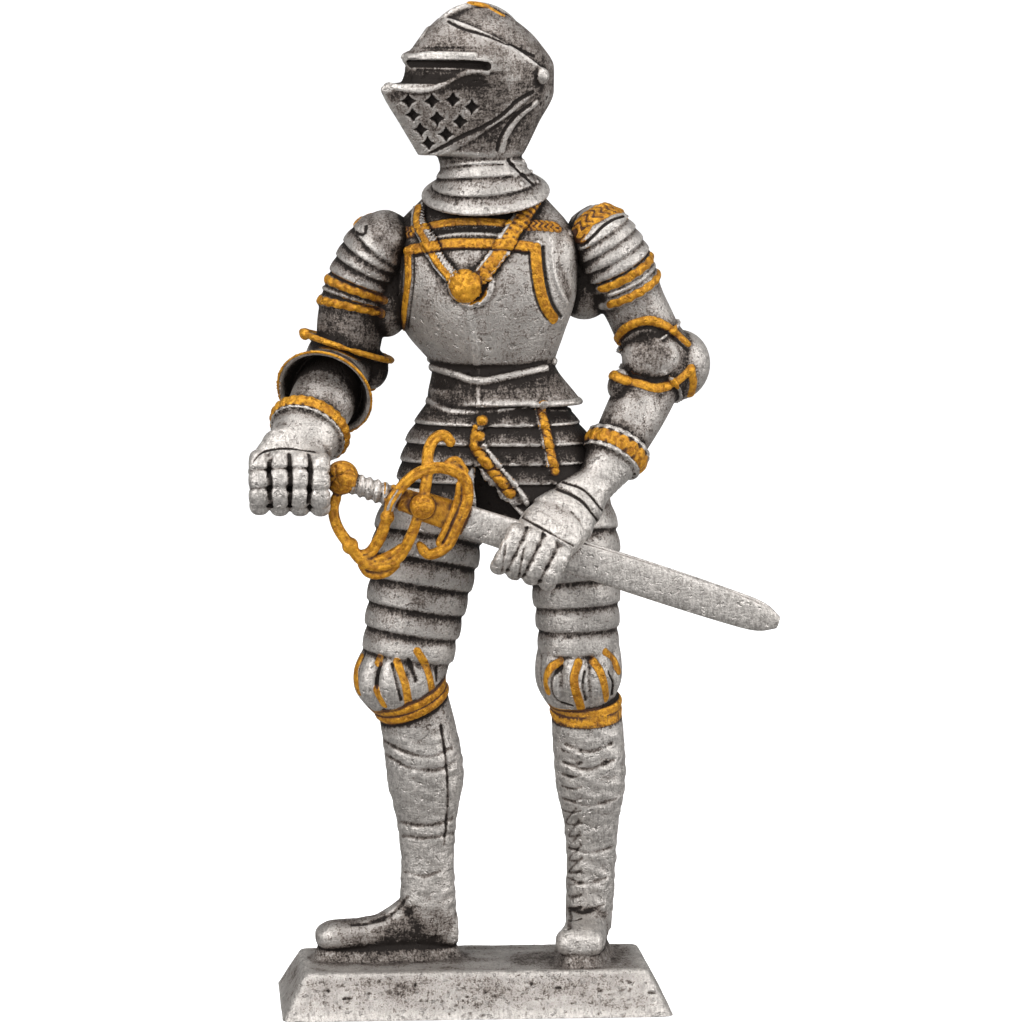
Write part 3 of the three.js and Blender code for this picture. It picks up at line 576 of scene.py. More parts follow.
def level_shell(rows, sides=160, step=0.09):
    """A closed skin over level rings. A row is [height, reach (5), lift], and lift raises the sides."""
    facing = turned(HEAD_TURN)
    side = np.cross(facing, UP)
    heights = np.unique(np.concatenate([np.arange(rows[0][0], rows[-1][0], step), [r[0] for r in rows]]))
    table = table_at(rows, heights, steady=True)
    angles = np.linspace(0, TAU, sides, endpoint=False)
    lengthways, across = section(table[:, :5], angles)
    lift = table[:, 5, None] * ease(np.minimum(angles, TAU - angles), 0.7, 1.1)
    base = vec(HEAD[0], HEAD[1], 0)
    grid = base + UP * (heights[:, None] + lift)[..., None]
    return closed(grid + facing * lengthways[..., None] + side * across[..., None])


def helmet_shells():
    """The skull, the visor cut out of its own shell by a wedge, the comb, the two pivots and the collar."""
    facing = turned(HEAD_TURN)
    side = np.cross(facing, UP)
    skull = [
        [79.0, 4.0, 4.2, 3.4, 2, 2, 0],
        [80.7, 4.3, 4.7, 3.6, 2, 2, 0],
        [81.1, 4.5, 6.8, 3.9, 1.6, 2, 0],
        [84.0, 5.1, 7.8, 5.6, 1.5, 2, 0],
        [87.2, 5.8, 8.2, 7.3, 1.6, 2, 0],
        [89.4, 5.9, 8.0, 7.3, 1.7, 2, 0],
        [92.0, 5.2, 6.7, 5.6, 1.8, 2, 0],
        [94.0, 3.6, 4.5, 3.3, 2, 2, 0],
        [95.3, 1.2, 2.0, 0.8, 2, 2, 0],
    ]
    visor = [
        [80.9, 4.8, 7.2, 4.2, 1.45, 2, 0],
        [84.0, 5.4, 9.3, 5.8, 1.3, 2, 0],
        [86.9, 6.1, 11.2, 7.3, 1.25, 2, 1.1],
        [87.4, 6.2, 11.4, 7.5, 1.25, 2, 1.2],
        [87.9, 6.2, 10.9, 7.6, 1.3, 2, 1.2],
        [88.1, 6.2, 9.0, 7.6, 1.5, 2, 1.1],
        [89.5, 6.2, 8.5, 7.6, 1.6, 2, 0.1],
        [90.25, 6.2, 8.9, 7.6, 1.6, 2, 0],
        [90.8, 6.1, 8.6, 7.4, 1.6, 2, 0],
        [91.0, 6.05, 8.2, 7.3, 1.6, 2, 0],
        [92.6, 5.2, 6.7, 5.6, 1.7, 2, 0],
        [94.0, 4.0, 5.2, 3.7, 1.8, 2, 0],
        [95.2, 2.4, 3.6, 1.8, 2, 2, 0],
    ]
    pivot_height, pivot_back, far = 88.7, -3.6, 20

    def at(height, ahead, across=0.0):
        """A place on the head by its height and its distances ahead and to the side."""
        return vec(HEAD[0], HEAD[1], height) + facing * ahead + side * across

    wedge = [
        (pivot_back - 0.9, 0.3),
        (4.4, 94.4 - pivot_height),
        (far, far),
        (far, 80.6 - pivot_height),
        (6.0, 80.6 - pivot_height),
        (pivot_back - 0.6, -0.8),
    ]
    cutter = prism(wedge, -far, far, lambda ahead, over, across: at(pivot_height + over, ahead, across))
    cut = modified(level_shell(visor), "BOOLEAN", cutter, operation="INTERSECT", solver="EXACT")
    comb = Form(
        [at(91.8, 6.0), at(94.0, 4.3), at(95.0, 1.3), at(94.4, -2.0), at(92.2, -4.8)],
        side,
        [[0, 0.3, 0.4], [0.3, 0.8, 0.6], [0.55, 0.95, 0.75], [0.8, 0.7, 0.6], [1, 0.3, 0.4]],
    )
    pivots = [ball(at(pivot_height, pivot_back, 5.3 * hand), side, 0.9, 0.85) for hand in (1, -1)]
    return [level_shell(skull), cut, comb.shell(sides=32), *pivots, collar_form().shell(sides=160)]


def collar_form():
    """The collar: four lapped rings along a path that leans forward and to the right."""
    laps = lapped(0.2, 0.94, 4, proud=0.24, belly=0.05, flip=True)
    rise = unit(vec(-0.12, -0.28, 1))
    base = vec(1.5, 1.0, 76.7)
    return Form(
        [base, base + 2 * rise, vec(HEAD[0], HEAD[1], 80.6)],
        turned(CHEST_TURN + 20),
        [
            [0, 6.2, 5.4, 5.2],
            [0.1, 6.7, 5.8, 5.6],
            [0.3, 5.5, 5.1, 4.9],
            [0.5, 4.8, 4.6, 4.4],
            [0.75, 4.2, 4.2, 4.0],
            [1, 3.8, 4.0, 3.7],
        ],
        **laps,
    )


def mirrored(line):
    """A line reflected to the other side of the helmet's middle plane."""
    side = np.cross(turned(HEAD_TURN), UP)
    offset = (line - HEAD) @ side
    return line - 2 * offset[:, None] * side


# The visor's star-shaped holes: their places in pixels, and the reach, power and depth of each
STAR_PIXELS = [(408.3, 101.4), (431.9, 101.4), (452.9, 100.1), (472, 107.1), (412.7, 115.4)]
STAR_PIXELS += [(437, 118.6), (460, 121.8), (420.4, 130.1), (445.9, 134.6), (428, 144.1)]
STAR_REACH, STAR_POWER, STAR_DEPTH = 0.98, 0.6, 0.5


def starred(centres, points, normals):
    """How far inside a four-pointed star points lie, in mm: reach less (|u|^0.6 + |v|^0.6)^(1/0.6)."""
    inside = np.full(len(points), -EDGE_BAND)
    for centre in centres:
        index = np.nonzero(np.all(np.abs(points - centre) < STAR_REACH + 0.32, axis=1))[0]
        offset = points[index] - centre
        normal = unit(normals[index].mean(axis=0))
        upward = unit(UP - normal * (UP @ normal))
        u, v = offset @ np.cross(upward, normal), offset @ upward
        reach = (np.abs(u) ** STAR_POWER + np.abs(v) ** STAR_POWER) ** (1 / STAR_POWER)
        inside[index] = np.maximum(inside[index], np.clip(STAR_REACH - reach, -EDGE_BAND, EDGE_BAND))
    return inside


def helmet_trims(tree):
    """The visor's edges, sight and ridges, the gilt comb, and the rolled rim of the chin plate."""
    draw = pen(tree)
    both = [
        draw([(448, 21), (459, 27), (491, 37), (517, 48.5), (534, 56)], 0.22, 0.16, "groove", wash=0.4),
        draw([(421, 48), (447, 47.5), (472, 48)], 0.12, 0.12, "groove"),
        draw([(410, 57), (427, 53.6), (450, 54), (474, 55)], 0.3, 0.16, "round"),
        # The sight and the visor's ledge under it are darkened by patina and painted shade
        draw([(409, 63.5), (430, 63.5), (455, 64), (480, 65), (487, 66.5)], 0.44, 0.7, "groove", wash=0.9),
        draw([(404, 82), (440, 79), (478, 76)], 1.5, wash=0.3),
        draw([(417, 70), (438, 70.5), (459, 71)], 0.14, 0.12, "groove"),
        draw(
            [(390, 84), (399, 88), (421, 91), (441, 86), (453, 79), (467, 73), (487, 73)], 0.3, 0.14, "round"
        ),
        draw(
            [(427, 155), (439, 149), (459, 138), (485, 126), (504, 113.5), (517, 101), (533, 92)],
            0.26, 0.12, "groove", wash=0.45,
        ),
        draw([(536, 103), (519, 117), (505, 138), (502, 150)], 0.36, 0.16, "round"),
        draw([(531, 104), (514, 117), (500, 138), (497, 150)], 0.2, 0.1, "groove", wash=0.5),
        draw([(452, 6), (434, 20), (421, 38)], 0.35, 0.14, "round"),
        draw([(547, 98)], 0.24, 0.4, "groove", dark=1),
        draw([(541, 104)], 0.24, 0.4, "groove", dark=1),
        draw([(547, 107)], 0.24, 0.4, "groove", dark=1),
    ]
    far = [Trim(mirrored(t.line), t.half, t.height, t.kind, t.gold, t.dark, wash=t.wash) for t in both[1:-4]]
    one = [
        draw([(457, 5), (469.5, 2.5), (486, 6.5), (502, 15)], 0.34, 0.12, "round", gold=1),
        draw([(509, 161), (521, 173), (533, 184)], 0.3, 0.25, "groove", wash=0.6),
        *[draw([p], 0.26, 0.2, "round") for p in [(506, 166), (515, 176), (522, 184)]],
        *[draw([p], 0.26, 0.2, "round") for p in [(523, 161), (531, 172), (537, 182)]],
    ]
    rim = collar_form().ring(0.14, 0, 360, 120)
    return both + far + one + [Trim(rim, 0.25, 0.1, "round")]


# The breastplate, its straps and the skirt of hoops


def torso_form():
    """The trunk from the flange to the neck: level superellipses, fullest at the chest."""
    return Form(
        [vec(3.3, 1.0, 56.2), WAIST, vec(1.3, 1.0, 63.0), vec(1.1, 1.0, 67.5), vec(1.4, 1.8, 78.4)],
        turned(CHEST_TURN),
        [
            [0, 7.9, 6.2, 5.8, 1.8, 2],
            [0.045, 7.5, 5.8, 5.5, 1.8, 2],
            [0.135, 6.5, 5.1, 4.9, 1.8, 2],
            [0.18, 6.3, 4.9, 4.7, 1.8, 2],
            [0.2, 6.5, 5.4, 4.8, 1.7, 2],
            [0.31, 8.0, 6.4, 5.2, 1.65, 2],
            [0.45, 9.3, 7.0, 5.7, 1.7, 2.1],
            [0.58, 9.7, 6.8, 5.9, 1.9, 2.1],
            [0.72, 9.6, 5.9, 5.8, 2.2, 2.2],
            [0.81, 8.5, 4.9, 5.6, 2.2, 2.1],
            [0.9, 6.6, 3.6, 4.9, 2, 2],
            [1, 4.4, 2.6, 3.6, 2, 2],
        ],
        level=True,
    )


def skirt_shell():
    """The hooped skirt, with a steep notch over the crotch."""
    hem = 44.6
    laps = lapped(0.12, 1, 6, proud=0.38, belly=0.1)
    whole = Form(
        [vec(WAIST[0], WAIST[1], 57.6), vec(2.8, 1.3, 51), vec(2.9, 1.5, hem)],
        turned(CHEST_TURN * 0.6),
        [
            [0, 6.5, 5.0, 4.9, 2, 2],
            [0.15, 7.1, 5.5, 5.3, 2.1, 2.1],
            [0.37, 8.8, 6.2, 5.9, 2.2, 2.2],
            [0.65, 9.9, 6.6, 6.3, 2.3, 2.3],
            [1, 10.3, 6.7, 6.5, 2.4, 2.4],
        ],
        level=True,
        **laps,
    ).shell(step=0.12, sides=180)
    corners = [(-0.1, 6.2), (0.7, -2), (7.2, -2)]
    notch = prism(corners, -3, -15, lambda across, over, depth: vec(across - 0.2, depth, hem + over))
    return modified(whole, "BOOLEAN", notch, operation="DIFFERENCE", solver="EXACT")


MEDALLION = vec(-1.0, -5.7, 68.2)
# The middle lines of the two straps, in pixels
LEFT_STRAP = [(420.5, 206), (419, 222), (428, 240), (439, 261), (452, 277)]
RIGHT_STRAP = [(535, 197), (529, 207), (521, 219), (511, 234), (502, 249), (491, 264), (478, 280)]


def strap_shell(tree, pixels, half):
    """A flat strap that lies on the breastplate along a line of the photograph."""
    proud, sunk, spacing = 0.3, 0.8, 0.8
    lifted = traced(tree, pixels, spacing) + 0.25 * turned(CHEST_TURN)
    rows = [[share, half, proud, sunk, 4, 2] for share in (0, 1)]
    return Form(lifted, turned(CHEST_TURN), rows).shell(sides=40)


def body_shells():
    """The trunk, the skirt, the two straps and the medallion's boss."""
    facing = turned(CHEST_TURN)
    chest = torso_form().shell(sides=200)
    tree = tree_of(*chest)
    boss = ball(MEDALLION + 0.4 * facing, facing, 0.9, 1.6)
    straps = [strap_shell(tree, LEFT_STRAP, 0.72), strap_shell(tree, RIGHT_STRAP, 0.85)]
    return [chest, skirt_shell(), *straps, boss]


def body_trims(tree):
    """The gilt borders of the breastplate, its ridges, the straps' edges, and the skirt's cords."""
    draw = pen(tree)
    left_strip = [(408, 252), (408, 279), (405, 306), (402.5, 327)]
    right_strip = [(535.5, 249), (537.5, 272), (541.5, 294), (547, 309), (554, 319)]
    clasps = [(482.3, 420.5), (479.5, 436)]
    left_cord = [(474.5, 447), (486, 462), (499, 478), (511, 493)]
    right_cord = [(540.5, 409), (546, 430), (550, 450), (555, 471)]
    leaves = [(459, 279), (469, 276), (475, 285), (466, 288), (457, 291), (466, 299)]

    def aside(line, across, down=0.0):
        """The same line, moved over by some pixels."""
        return [(x + across, y + down) for x, y in line]

    return [
        # The band over the breastplate and the breastplate's own gilt border
        draw([(388, 232), (400, 232), (412, 232.5)], 0.62, 0.12, "engraved", gold=1, pitch=0.5),
        draw([(427, 226.5), (450, 222.5), (480, 221.5), (507, 223.5)], 0.42, 0.14, gold=1),
        draw([(431, 233.5), (452, 229.5), (480, 228.5), (500, 230)], 0.32, 0.02, "engraved", pitch=0.32),
        draw([(431, 239), (452, 235), (480, 234), (500, 236)], 0.22, 0.14, "round"),
        draw([(526, 225), (541, 225.5), (556, 227)], 0.6, 0.12, "engraved", gold=1, pitch=0.6),
        Trim(torso_form().ring(0.765, 85, 275, 140), 0.4, 0.12, "flat"),
        draw(
            [(411, 249.5), (430, 246.5), (452, 243.5), (480, 243.5), (510, 244.5), (531, 247)],
            0.5, 0.14, gold=1,
        ),
        draw(
            [(414, 256), (430, 252.5), (452, 249), (480, 249), (510, 250.5), (528, 253)],
            0.2, 0.12, "groove", wash=0.8,
        ),
        draw(left_strip, 0.42, 0.14, gold=1),
        draw(right_strip, 0.5, 0.14, gold=1),
        draw(aside(left_strip, 5.8), 0.14, 0.12, "groove", dark=1),
        draw(aside(left_strip, -6.0), 0.16, 0.14, "groove", dark=1),
        draw(aside(right_strip, -6.6, 1), 0.15, 0.14, "groove", dark=1),
        draw(aside(right_strip, 7.4, -2), 0.24, 0.16, "groove", dark=1),
        draw([(551, 240), (552, 262), (558, 286), (568, 305)], 0.28, 0.12, "round"),
        # Patina and painted shade beside the armholes, under the collar and along the gilt band
        draw([(559, 240), (562, 270), (569, 296)], 0.8, wash=0.3),
        draw([(391, 246), (396, 280), (393, 322)], 0.8, wash=0.25),
        draw([(430, 209), (460, 211.5), (500, 209)], 0.8, wash=0.45),
        draw([(428, 233), (452, 231), (480, 230), (502, 231)], 0.24, wash=0.6),
        draw([(407.5, 250.5)], 0.4, 0.28, "round", gold=1),
        draw([(538.5, 244)], 0.4, 0.28, "round"),
        # The two straps, the medallion and the curls behind it
        draw(aside(LEFT_STRAP, -2.5, 1), 0.36, 0.06, gold=1),
        draw(aside(LEFT_STRAP, 3.2, -2), 0.42, 0.04, "engraved", pitch=0.42),
        draw(aside(LEFT_STRAP, -6.6, 2), 0.13, 0.12, "groove", dark=1),
        draw(aside(LEFT_STRAP, 7.8, -3), 0.13, 0.12, "groove", dark=1),
        draw(RIGHT_STRAP, 0.6, 0.06, "braided", gold=1, pitch=0.7),
        draw(aside(RIGHT_STRAP, -8.2, -4), 0.13, 0.12, "groove", dark=1),
        draw(aside(RIGHT_STRAP, 8.2, 4), 0.13, 0.12, "groove", dark=1),
        draw(
            [(483, 274), (491, 281), (489, 292), (484, 301), (472, 305), (462, 303)],
            0.34, 0.3, "rope", pitch=0.9,
        ),
        draw([(466, 285.5)], 1.62, 0.12, "round", gold=1),
        *[draw([place], 0.5, 0.14, "round") for place in leaves],
        # The keel, the waist and the flange
        draw([(469, 306), (474, 340), (478, 378)], 0.45, 0.10, "round"),
        draw([(432, 367), (455, 374), (478, 381), (510, 376), (545, 368)], 0.45, 0.36, "round"),
        draw([(432, 361), (455, 368), (478, 375), (510, 370), (545, 362)], 0.5, wash=0.15),
        draw(
            [(427, 400), (446, 409.7), (479.5, 412), (525, 407), (565, 403), (584, 400)], 0.34, 0.16, "round"
        ),
        draw([(478, 386), (478.5, 408)], 0.26, 0.08, "round"),
        Trim(torso_form().ring(0.19, 90, 270, 60), 0.4, 0.3, "round"),
        # The clasp and the two cords of the skirt
        *[draw([place], 0.66, 0.3, "round") for place in clasps],
        *[draw([place], 0.38, 0.3, "round", gold=1) for place in clasps],
        draw([(476, 428), (473.5, 437), (474, 446)], 0.34, 0.2, "round", gold=1),
        draw(left_cord, 0.5, 0.42, "rope", gold=1, pitch=0.85),
        draw(aside(left_cord, 9.5, -1) + [(527, 503)], 0.3, 0.3, "round"),
        draw(right_cord, 0.46, 0.42, "rope", gold=1, pitch=0.95),
        draw(aside(right_cord, -6), 0.14, 0.2, "round"),
    ]


# The arms, their elbow plates and the gauntlets

# A moulding's half width, as a share of the arm's length
ROPE_HALF = 0.03


def upper_arm(path, hoops, ropes, girth, below):
    """A shoulder and upper arm in hoops, with two twisted mouldings above the elbow."""
    laps = lapped(*hoops, 4, proud=0.3, belly=0.1)

    def relief(share, angle):
        """The hoops' rise, plus a half circle at each moulding with a slanting wave of 17 strands."""
        total = laps["relief"](share, angle)
        for number, middle in enumerate(ropes):
            hump = np.sqrt(np.clip(1 - ((share - middle) / ROPE_HALF) ** 2, 0, 1))
            twist = 17 * angle + (1.6 if number else -1.6) * (share - middle) / ROPE_HALF
            total = total + hump * (0.32 + 0.13 * np.cos(twist))
        return total

    rows = [
        [0, 1.2 * girth, 1.5, 1.5],
        [0.04, 2.3 * girth, 2.9, 2.9],
        [0.12, 3.1 * girth, 3.9, 3.9],
        [0.26, 3.5 * girth, 4.2, 4.1],
        [0.45, 3.5 * girth, 4.0, 3.9],
        [0.62, below, 3.5, 3.5],
        [0.78, below, 3.2, 3.2],
        [1, 3.0, 3.0, 3.0],
    ]
    return Form(path, FORWARD, rows, relief=relief, edges=laps["edges"])


def bell(elbow, mouth_at, radius, mouth):
    """One half of an elbow plate: a bell that flares from the joint to a mouth."""
    rows = [[0, radius, radius], [0.5, radius, radius], [0.88, mouth - 0.4, mouth - 0.4], [1, mouth, mouth]]
    return Form([elbow, mouth_at], vec(0.1, -1, 0.3), rows)


def hollow_bell(elbow, mouth_at, radius, mouth):
    """A bell whose skin turns in at the mouth and runs back inside as a cone."""
    outer = bell(elbow, mouth_at, radius, mouth)
    angles = np.linspace(0, TAU, 96, endpoint=False)
    out = outer.points(np.linspace(0, 1, 40), angles)
    rim = out[-1] - out[-1].mean(axis=0)
    shares = np.linspace(1, 0.45, 24)[:, None, None]
    size = 2.9 + (mouth - 0.5 - 2.9) * (shares - 0.45) / 0.55
    back = elbow + (mouth_at - elbow) * shares + rim * size / mouth
    return closed(np.concatenate([out, back]))


def forearm(elbow, cuff, wrist, arm_radius, cuff_radius, wrist_radius):
    """A forearm plate that runs into a gauntlet's banded cuff and its wrist."""
    facing = vec(0.2, -0.6, 0.8)
    along = unit(cuff - elbow)
    swells = [(0, 0), (0.5, 0.1), (1, -0.3)]
    rows = [[share, arm_radius + more, arm_radius + more] for share, more in swells]
    arm = Form([elbow, cuff], facing, rows)
    sizes = [(0, -0.3), (0.08, 0), (0.3, -0.1), (0.38, -0.5)]
    rows = [[share, cuff_radius + more, cuff_radius + more] for share, more in sizes]
    rows += [[0.7, wrist_radius + 0.3, wrist_radius + 0.3], [1, wrist_radius, wrist_radius]]
    scales = lapped(0.42, 1.0, 5, proud=0.09, belly=0.03, flip=True)
    gauntlet = Form([cuff - along, cuff + 1.2 * along, wrist], facing, rows, **scales)
    return arm, gauntlet


def fingers(knuckle, across, down, under, width, length, pinch=0.8):
    """Four jointed fingers side by side, each bent from its knuckle down and under."""
    made = []
    for i in range(4):
        root = knuckle + across * (i - 1.5) * width + down * 0.12 * (i - 1.4) ** 2
        reach = length * (1 - 0.06 * abs(i - 1.4))
        full = width * 0.48
        bends = [(-0.1, 0.3), (0, 0.02), (0.35, -0.06), (0.72, 0.02), (0.98, 0.34)]
        stops = [(0, 1), (0.29, 1), (0.33, pinch), (0.37, 1), (0.53, 1), (0.57, pinch), (0.61, 1), (0.75, 1)]
        stops += [(0.79, pinch), (0.83, 1), (0.93, 0.93), (1, 0.55)]
        path = [root + down * d * reach + under * u * reach for d, u in bends]
        sizes = [(share, full * size) for share, size in stops]
        table = [[share, size, size * 1.04, size * 1.04, 2.3, 2.3] for share, size in sizes]
        made.append(Form(path, across, table, edges=[share for share, _ in stops]))
    return made


def hand_back(path, facing, rows):
    """A hand's plated back, which bends from the wrist down over what the hand holds."""
    return Form(path, facing, rows, **lapped(0.1, 0.6, 2, proud=0.25, belly=0.05))


def right_hand():
    """The right fist, which closes round the pommel."""
    path = [WRIST_RIGHT + vec(0.2, 0.8, 0.6), FIST_RIGHT + vec(0, 0.2, 1.6), FIST_RIGHT + vec(0, 0.6, -2.4)]
    rows = [[0, 2.7, 2.2, 2.2, 2.4, 2.4], [0.4, 3.4, 2.0, 2.4, 2.8, 2.4]]
    rows += [[0.7, 3.9, 1.9, 2.6, 3, 2.6], [1, 3.5, 1.6, 2.2, 3, 2.6]]
    knuckle = FIST_RIGHT + vec(-0.1, -1.9, 2.1)
    across, down = unit(vec(0.99, -0.06, -0.02)), unit(vec(0, -0.1, -1))
    bent = fingers(knuckle, across, down, vec(0.06, 1, 0), 1.98, 5.2)
    return [hand_back(path, vec(0, -1, 0.3), rows), *bent]


def left_hand(hold, along):
    """The left hand, whose fingers hang over the blade side by side along it."""
    path = [WRIST_LEFT + vec(0.3, 0.3, 0.5), vec(8.9, -6.4, 45.6), hold + vec(-0.4, -1.4, 0.6)]
    rows = [[0, 2.0, 1.9, 1.9, 2.2, 2.2], [0.45, 2.9, 1.8, 2.0, 2.4, 2.2]]
    rows += [[0.75, 3.4, 1.7, 1.9, 2.6, 2.2], [1, 3.2, 1.4, 1.8, 2.6, 2.2]]
    knuckle, down = hold + vec(-0.6, -2.2, 0.8), unit(vec(-0.47, -0.1, -0.88))
    bent = fingers(knuckle, along, down, vec(0.1, 1, 0), 1.7, 4.5, 0.9)
    return [hand_back(path, vec(-0.3, -1, 0.4), rows), *bent]


SWORD_ALONG = unit(BLADE_TIP - POMMEL)
SWORD_RISE = unit(np.cross(FORWARD, SWORD_ALONG))


def on_sword(distance, lift=0.0, ahead=0.0):
    """A place by its distance from the pommel, its rise across the blade and its reach forward."""
    return POMMEL + SWORD_ALONG * distance + SWORD_RISE * lift + FORWARD * ahead


# Where the two mouldings of each arm are, as shares of its length
ROPES_RIGHT, ROPES_LEFT = (0.53, 0.65), (0.41, 0.52)
ARM_RIGHT = upper_arm(
    [vec(-6.8, 1.2, 74.2), SHOULDER_RIGHT, vec(-11.5, 2.7, 66.4), vec(-12.4, 2.2, 60.2)],
    (0.12, 0.48),
    ROPES_RIGHT,
    0.9,
    3.35,
)
ARM_LEFT = upper_arm(
    [vec(11.0, 0.8, 75.2), SHOULDER_LEFT, vec(16.2, 1.6, 66.2), ELBOW_LEFT],
    (0.1, 0.37),
    ROPES_LEFT,
    1.0,
    3.15,
)
# The elbow plates: the right one's open half as elbow, mouth and two radii, and the other halves
OPEN_BELL = (ELBOW_RIGHT, vec(-14.8, -2.5, 57.4), 3.4, 5.0)
BELLS = [
    bell(ELBOW_RIGHT, ELBOW_RIGHT + 1.7 * unit(SHOULDER_RIGHT - ELBOW_RIGHT), 3.3, 4.8),
    bell(ELBOW_LEFT, ELBOW_LEFT + 3.1 * unit(SHOULDER_LEFT - ELBOW_LEFT), 3.5, 3.7),
    bell(ELBOW_LEFT, ELBOW_LEFT + 2.5 * unit(WRIST_LEFT - ELBOW_LEFT), 3.5, 3.7),
]
FOREARM_RIGHT = forearm(ELBOW_RIGHT, vec(-16.4, -4.6, 53.9), WRIST_RIGHT, 3.2, 4.0, 2.9)
FOREARM_LEFT = forearm(ELBOW_LEFT, vec(14.1, -2.4, 51.4), WRIST_LEFT, 2.9, 3.2, 1.9)


def arm_shells():
    """Both arms with their elbow plates, gauntlets and hands, and the padding in the armpits."""
    balls = [
        # The right elbow's cap and its inner side, and the inner side of the left elbow
        ball(ELBOW_RIGHT + vec(0.1, 1.3, -0.3), vec(-0.4, 0.9, -0.2), 3.2, 3.9),
        ball(ELBOW_RIGHT + vec(2.7, 0.4, -0.7), UP, 2.2, 2.0),
        ball(ELBOW_LEFT + vec(-4.5, -3.3, -1.9), vec(0.3, 0, 1), 1.6, 1.2),
        # The padding in the right and the left armpit
        ball(vec(-8.4, 2.6, 67.8), UP, 5.2, 3.0),
        ball(vec(11.4, 2.2, 69.0), UP, 4.7, 3.6),
        # The left elbow's cap and its rounded front
        ball(ELBOW_LEFT + vec(1.7, 0.8, -0.3), vec(0.9, 0.3, -0.25), 3.2, 3.6),
        ball(ELBOW_LEFT + vec(-1.2, -2.3, 0.6), vec(-0.1, -1, 0.1), 2.2, 3.0),
    ]
    hands = right_hand() + left_hand(on_sword(20.8), SWORD_ALONG)
    forms = [ARM_RIGHT, ARM_LEFT, *BELLS, *FOREARM_RIGHT, *FOREARM_LEFT]
    shells = [f.shell() for f in forms] + [f.shell(step=0.08, sides=40) for f in hands]
    lip = bar(BELLS[0].ring(0.96, 0, 360, 25), 0.26).shell(0.1, 32)
    return shells + [hollow_bell(*OPEN_BELL), lip] + balls


def arm_trims(tree):
    """The gilt of the ropes, the elbow plates' rims, the cuffs, and the patches on the shoulders."""
    draw = pen(tree)
    cuff_right, cuff_left = FOREARM_RIGHT[1], FOREARM_LEFT[1]
    couter = [(612, 346), (626, 328), (648, 320.5), (669, 327.5), (687, 343)]
    finger_gaps = [
        [(271, 458), (269, 470), (271, 482), (270, 494), (272, 506)],
        [(289, 454), (291, 480), (290, 505)],
        [(309, 454), (311, 470), (310, 485), (308, 503)],
        [(505, 545), (502, 573)],
        [(524, 549), (518, 582)],
    ]
    finger_folds = [[(251, y + 2), (270, y), (300, y - 1), (327, y + 1)] for y in (469, 487)]
    return [
        *[Trim(ARM_RIGHT.ring(share, -200, 50), 0.46, 0, gold=1) for share in ROPES_RIGHT],
        *[Trim(ARM_LEFT.ring(share, -42, 200), 0.46, 0, gold=1) for share in ROPES_LEFT],
        Trim(ARM_RIGHT.ring(sum(ROPES_RIGHT) / 2 - 0.005, -200, 40), 0.22, 0.2, "round"),
        Trim(ARM_LEFT.ring(sum(ROPES_LEFT) / 2 - 0.005, -35, 200), 0.22, 0.2, "round"),
        Trim(BELLS[0].ring(0.97), 0.3, 0.06, "round", gold=1),
        draw([(304, 332)], 0.6, 0.3, "round", gold=1),
        Trim(bell(*OPEN_BELL).ring(0.99), 0.22, 0.06, "round", gold=1),
        draw([(373, 398), (375, 408), (374, 415)], 0.4, 0.15, "round", gold=1),
        # Patina and painted shade inside the right elbow's open bell and round both elbows
        Trim(bell(*OPEN_BELL).ring(0.78), 1.7, wash=0.9),
        draw([(386, 372)], 2.4, wash=0.7),
        draw([(614, 384)], 1.6, wash=0.7),
        draw([(650, 353)], 3.4, wash=0.3),
        draw([(663, 338)], 0.9, wash=0.5),
        draw(couter, 0.42, 0.25, "round", gold=1),
        draw([(x, y + 7) for x, y in couter], 0.2, 0.15, "groove", wash=0.7),
        draw(
            [(610, 373), (622, 379), (640, 383.5), (656, 388), (676, 382), (691, 369)],
            0.45, 0.25, "round", gold=1,
        ),
        draw([(691, 371), (693.5, 383), (691, 395)], 0.4, 0.2, "round", gold=1),
        draw([(628, 372), (642, 377), (656, 380), (670, 375)], 0.2, 0.15, "groove", wash=0.6),
        draw([(355, 223), (361, 217), (368, 212)], 0.45, 0.1, gold=1),
        draw([(356, 232), (361, 235), (365, 233), (366, 226)], 0.2, 0.15, "groove", wash=0.7),
        draw(
            [(579, 232), (584, 221), (594, 214), (606, 208.5), (617, 208)],
            1.1, 0.14, "engraved", gold=1, pitch=0.9,
        ),
        draw(
            [(571, 228), (574, 238), (581, 245), (592, 237), (603, 226), (614, 219), (624, 216)],
            0.22, 0.18, "groove", wash=0.8,
        ),
        draw([(572, 224), (580, 211), (592, 205), (603, 202)], 0.2, 0.15, "groove", wash=0.6),
        Trim(cuff_right.ring(0.19), 0.82, 0.12, "braided", gold=1, pitch=1.0),
        Trim(cuff_left.ring(0.19), 0.95, 0.16, "braided", gold=1, pitch=1.2),
        Trim(cuff_right.ring(0.36), 0.22, 0.2, "round", gold=-1),
        Trim(cuff_left.ring(0.36), 0.3, 0.3, "round", gold=-1),
        Trim(cuff_left.ring(0.02), 0.3, 0.25, "round", gold=-1),
        # The folds over the knuckles
        draw([(253, 461), (262, 452.5), (285, 448.5), (315, 452)], 0.18, 0.14, "groove", wash=0.8),
        *[draw(line, 0.27, 0.22, "groove", wash=0.35) for line in finger_gaps],
        *[draw(line, 0.22, 0.05, "groove", wash=0.4) for line in finger_folds],
        draw([(520, 516), (545, 530), (574, 546)], 0.18, 0.16, "groove", wash=0.6),
        draw([(527, 505), (550, 516), (577, 537)], 0.12, 0.1, "groove"),
        draw([(545, 497), (570, 510), (588, 533)], 0.14, 0.14, "groove"),
        draw([(557, 489), (580, 500), (598, 521)], 0.2, 0.18, "groove", wash=0.6),
        draw([(563, 482), (584, 490), (603, 511)], 0.2, 0.18, "groove", wash=0.6),
    ]


# The sword

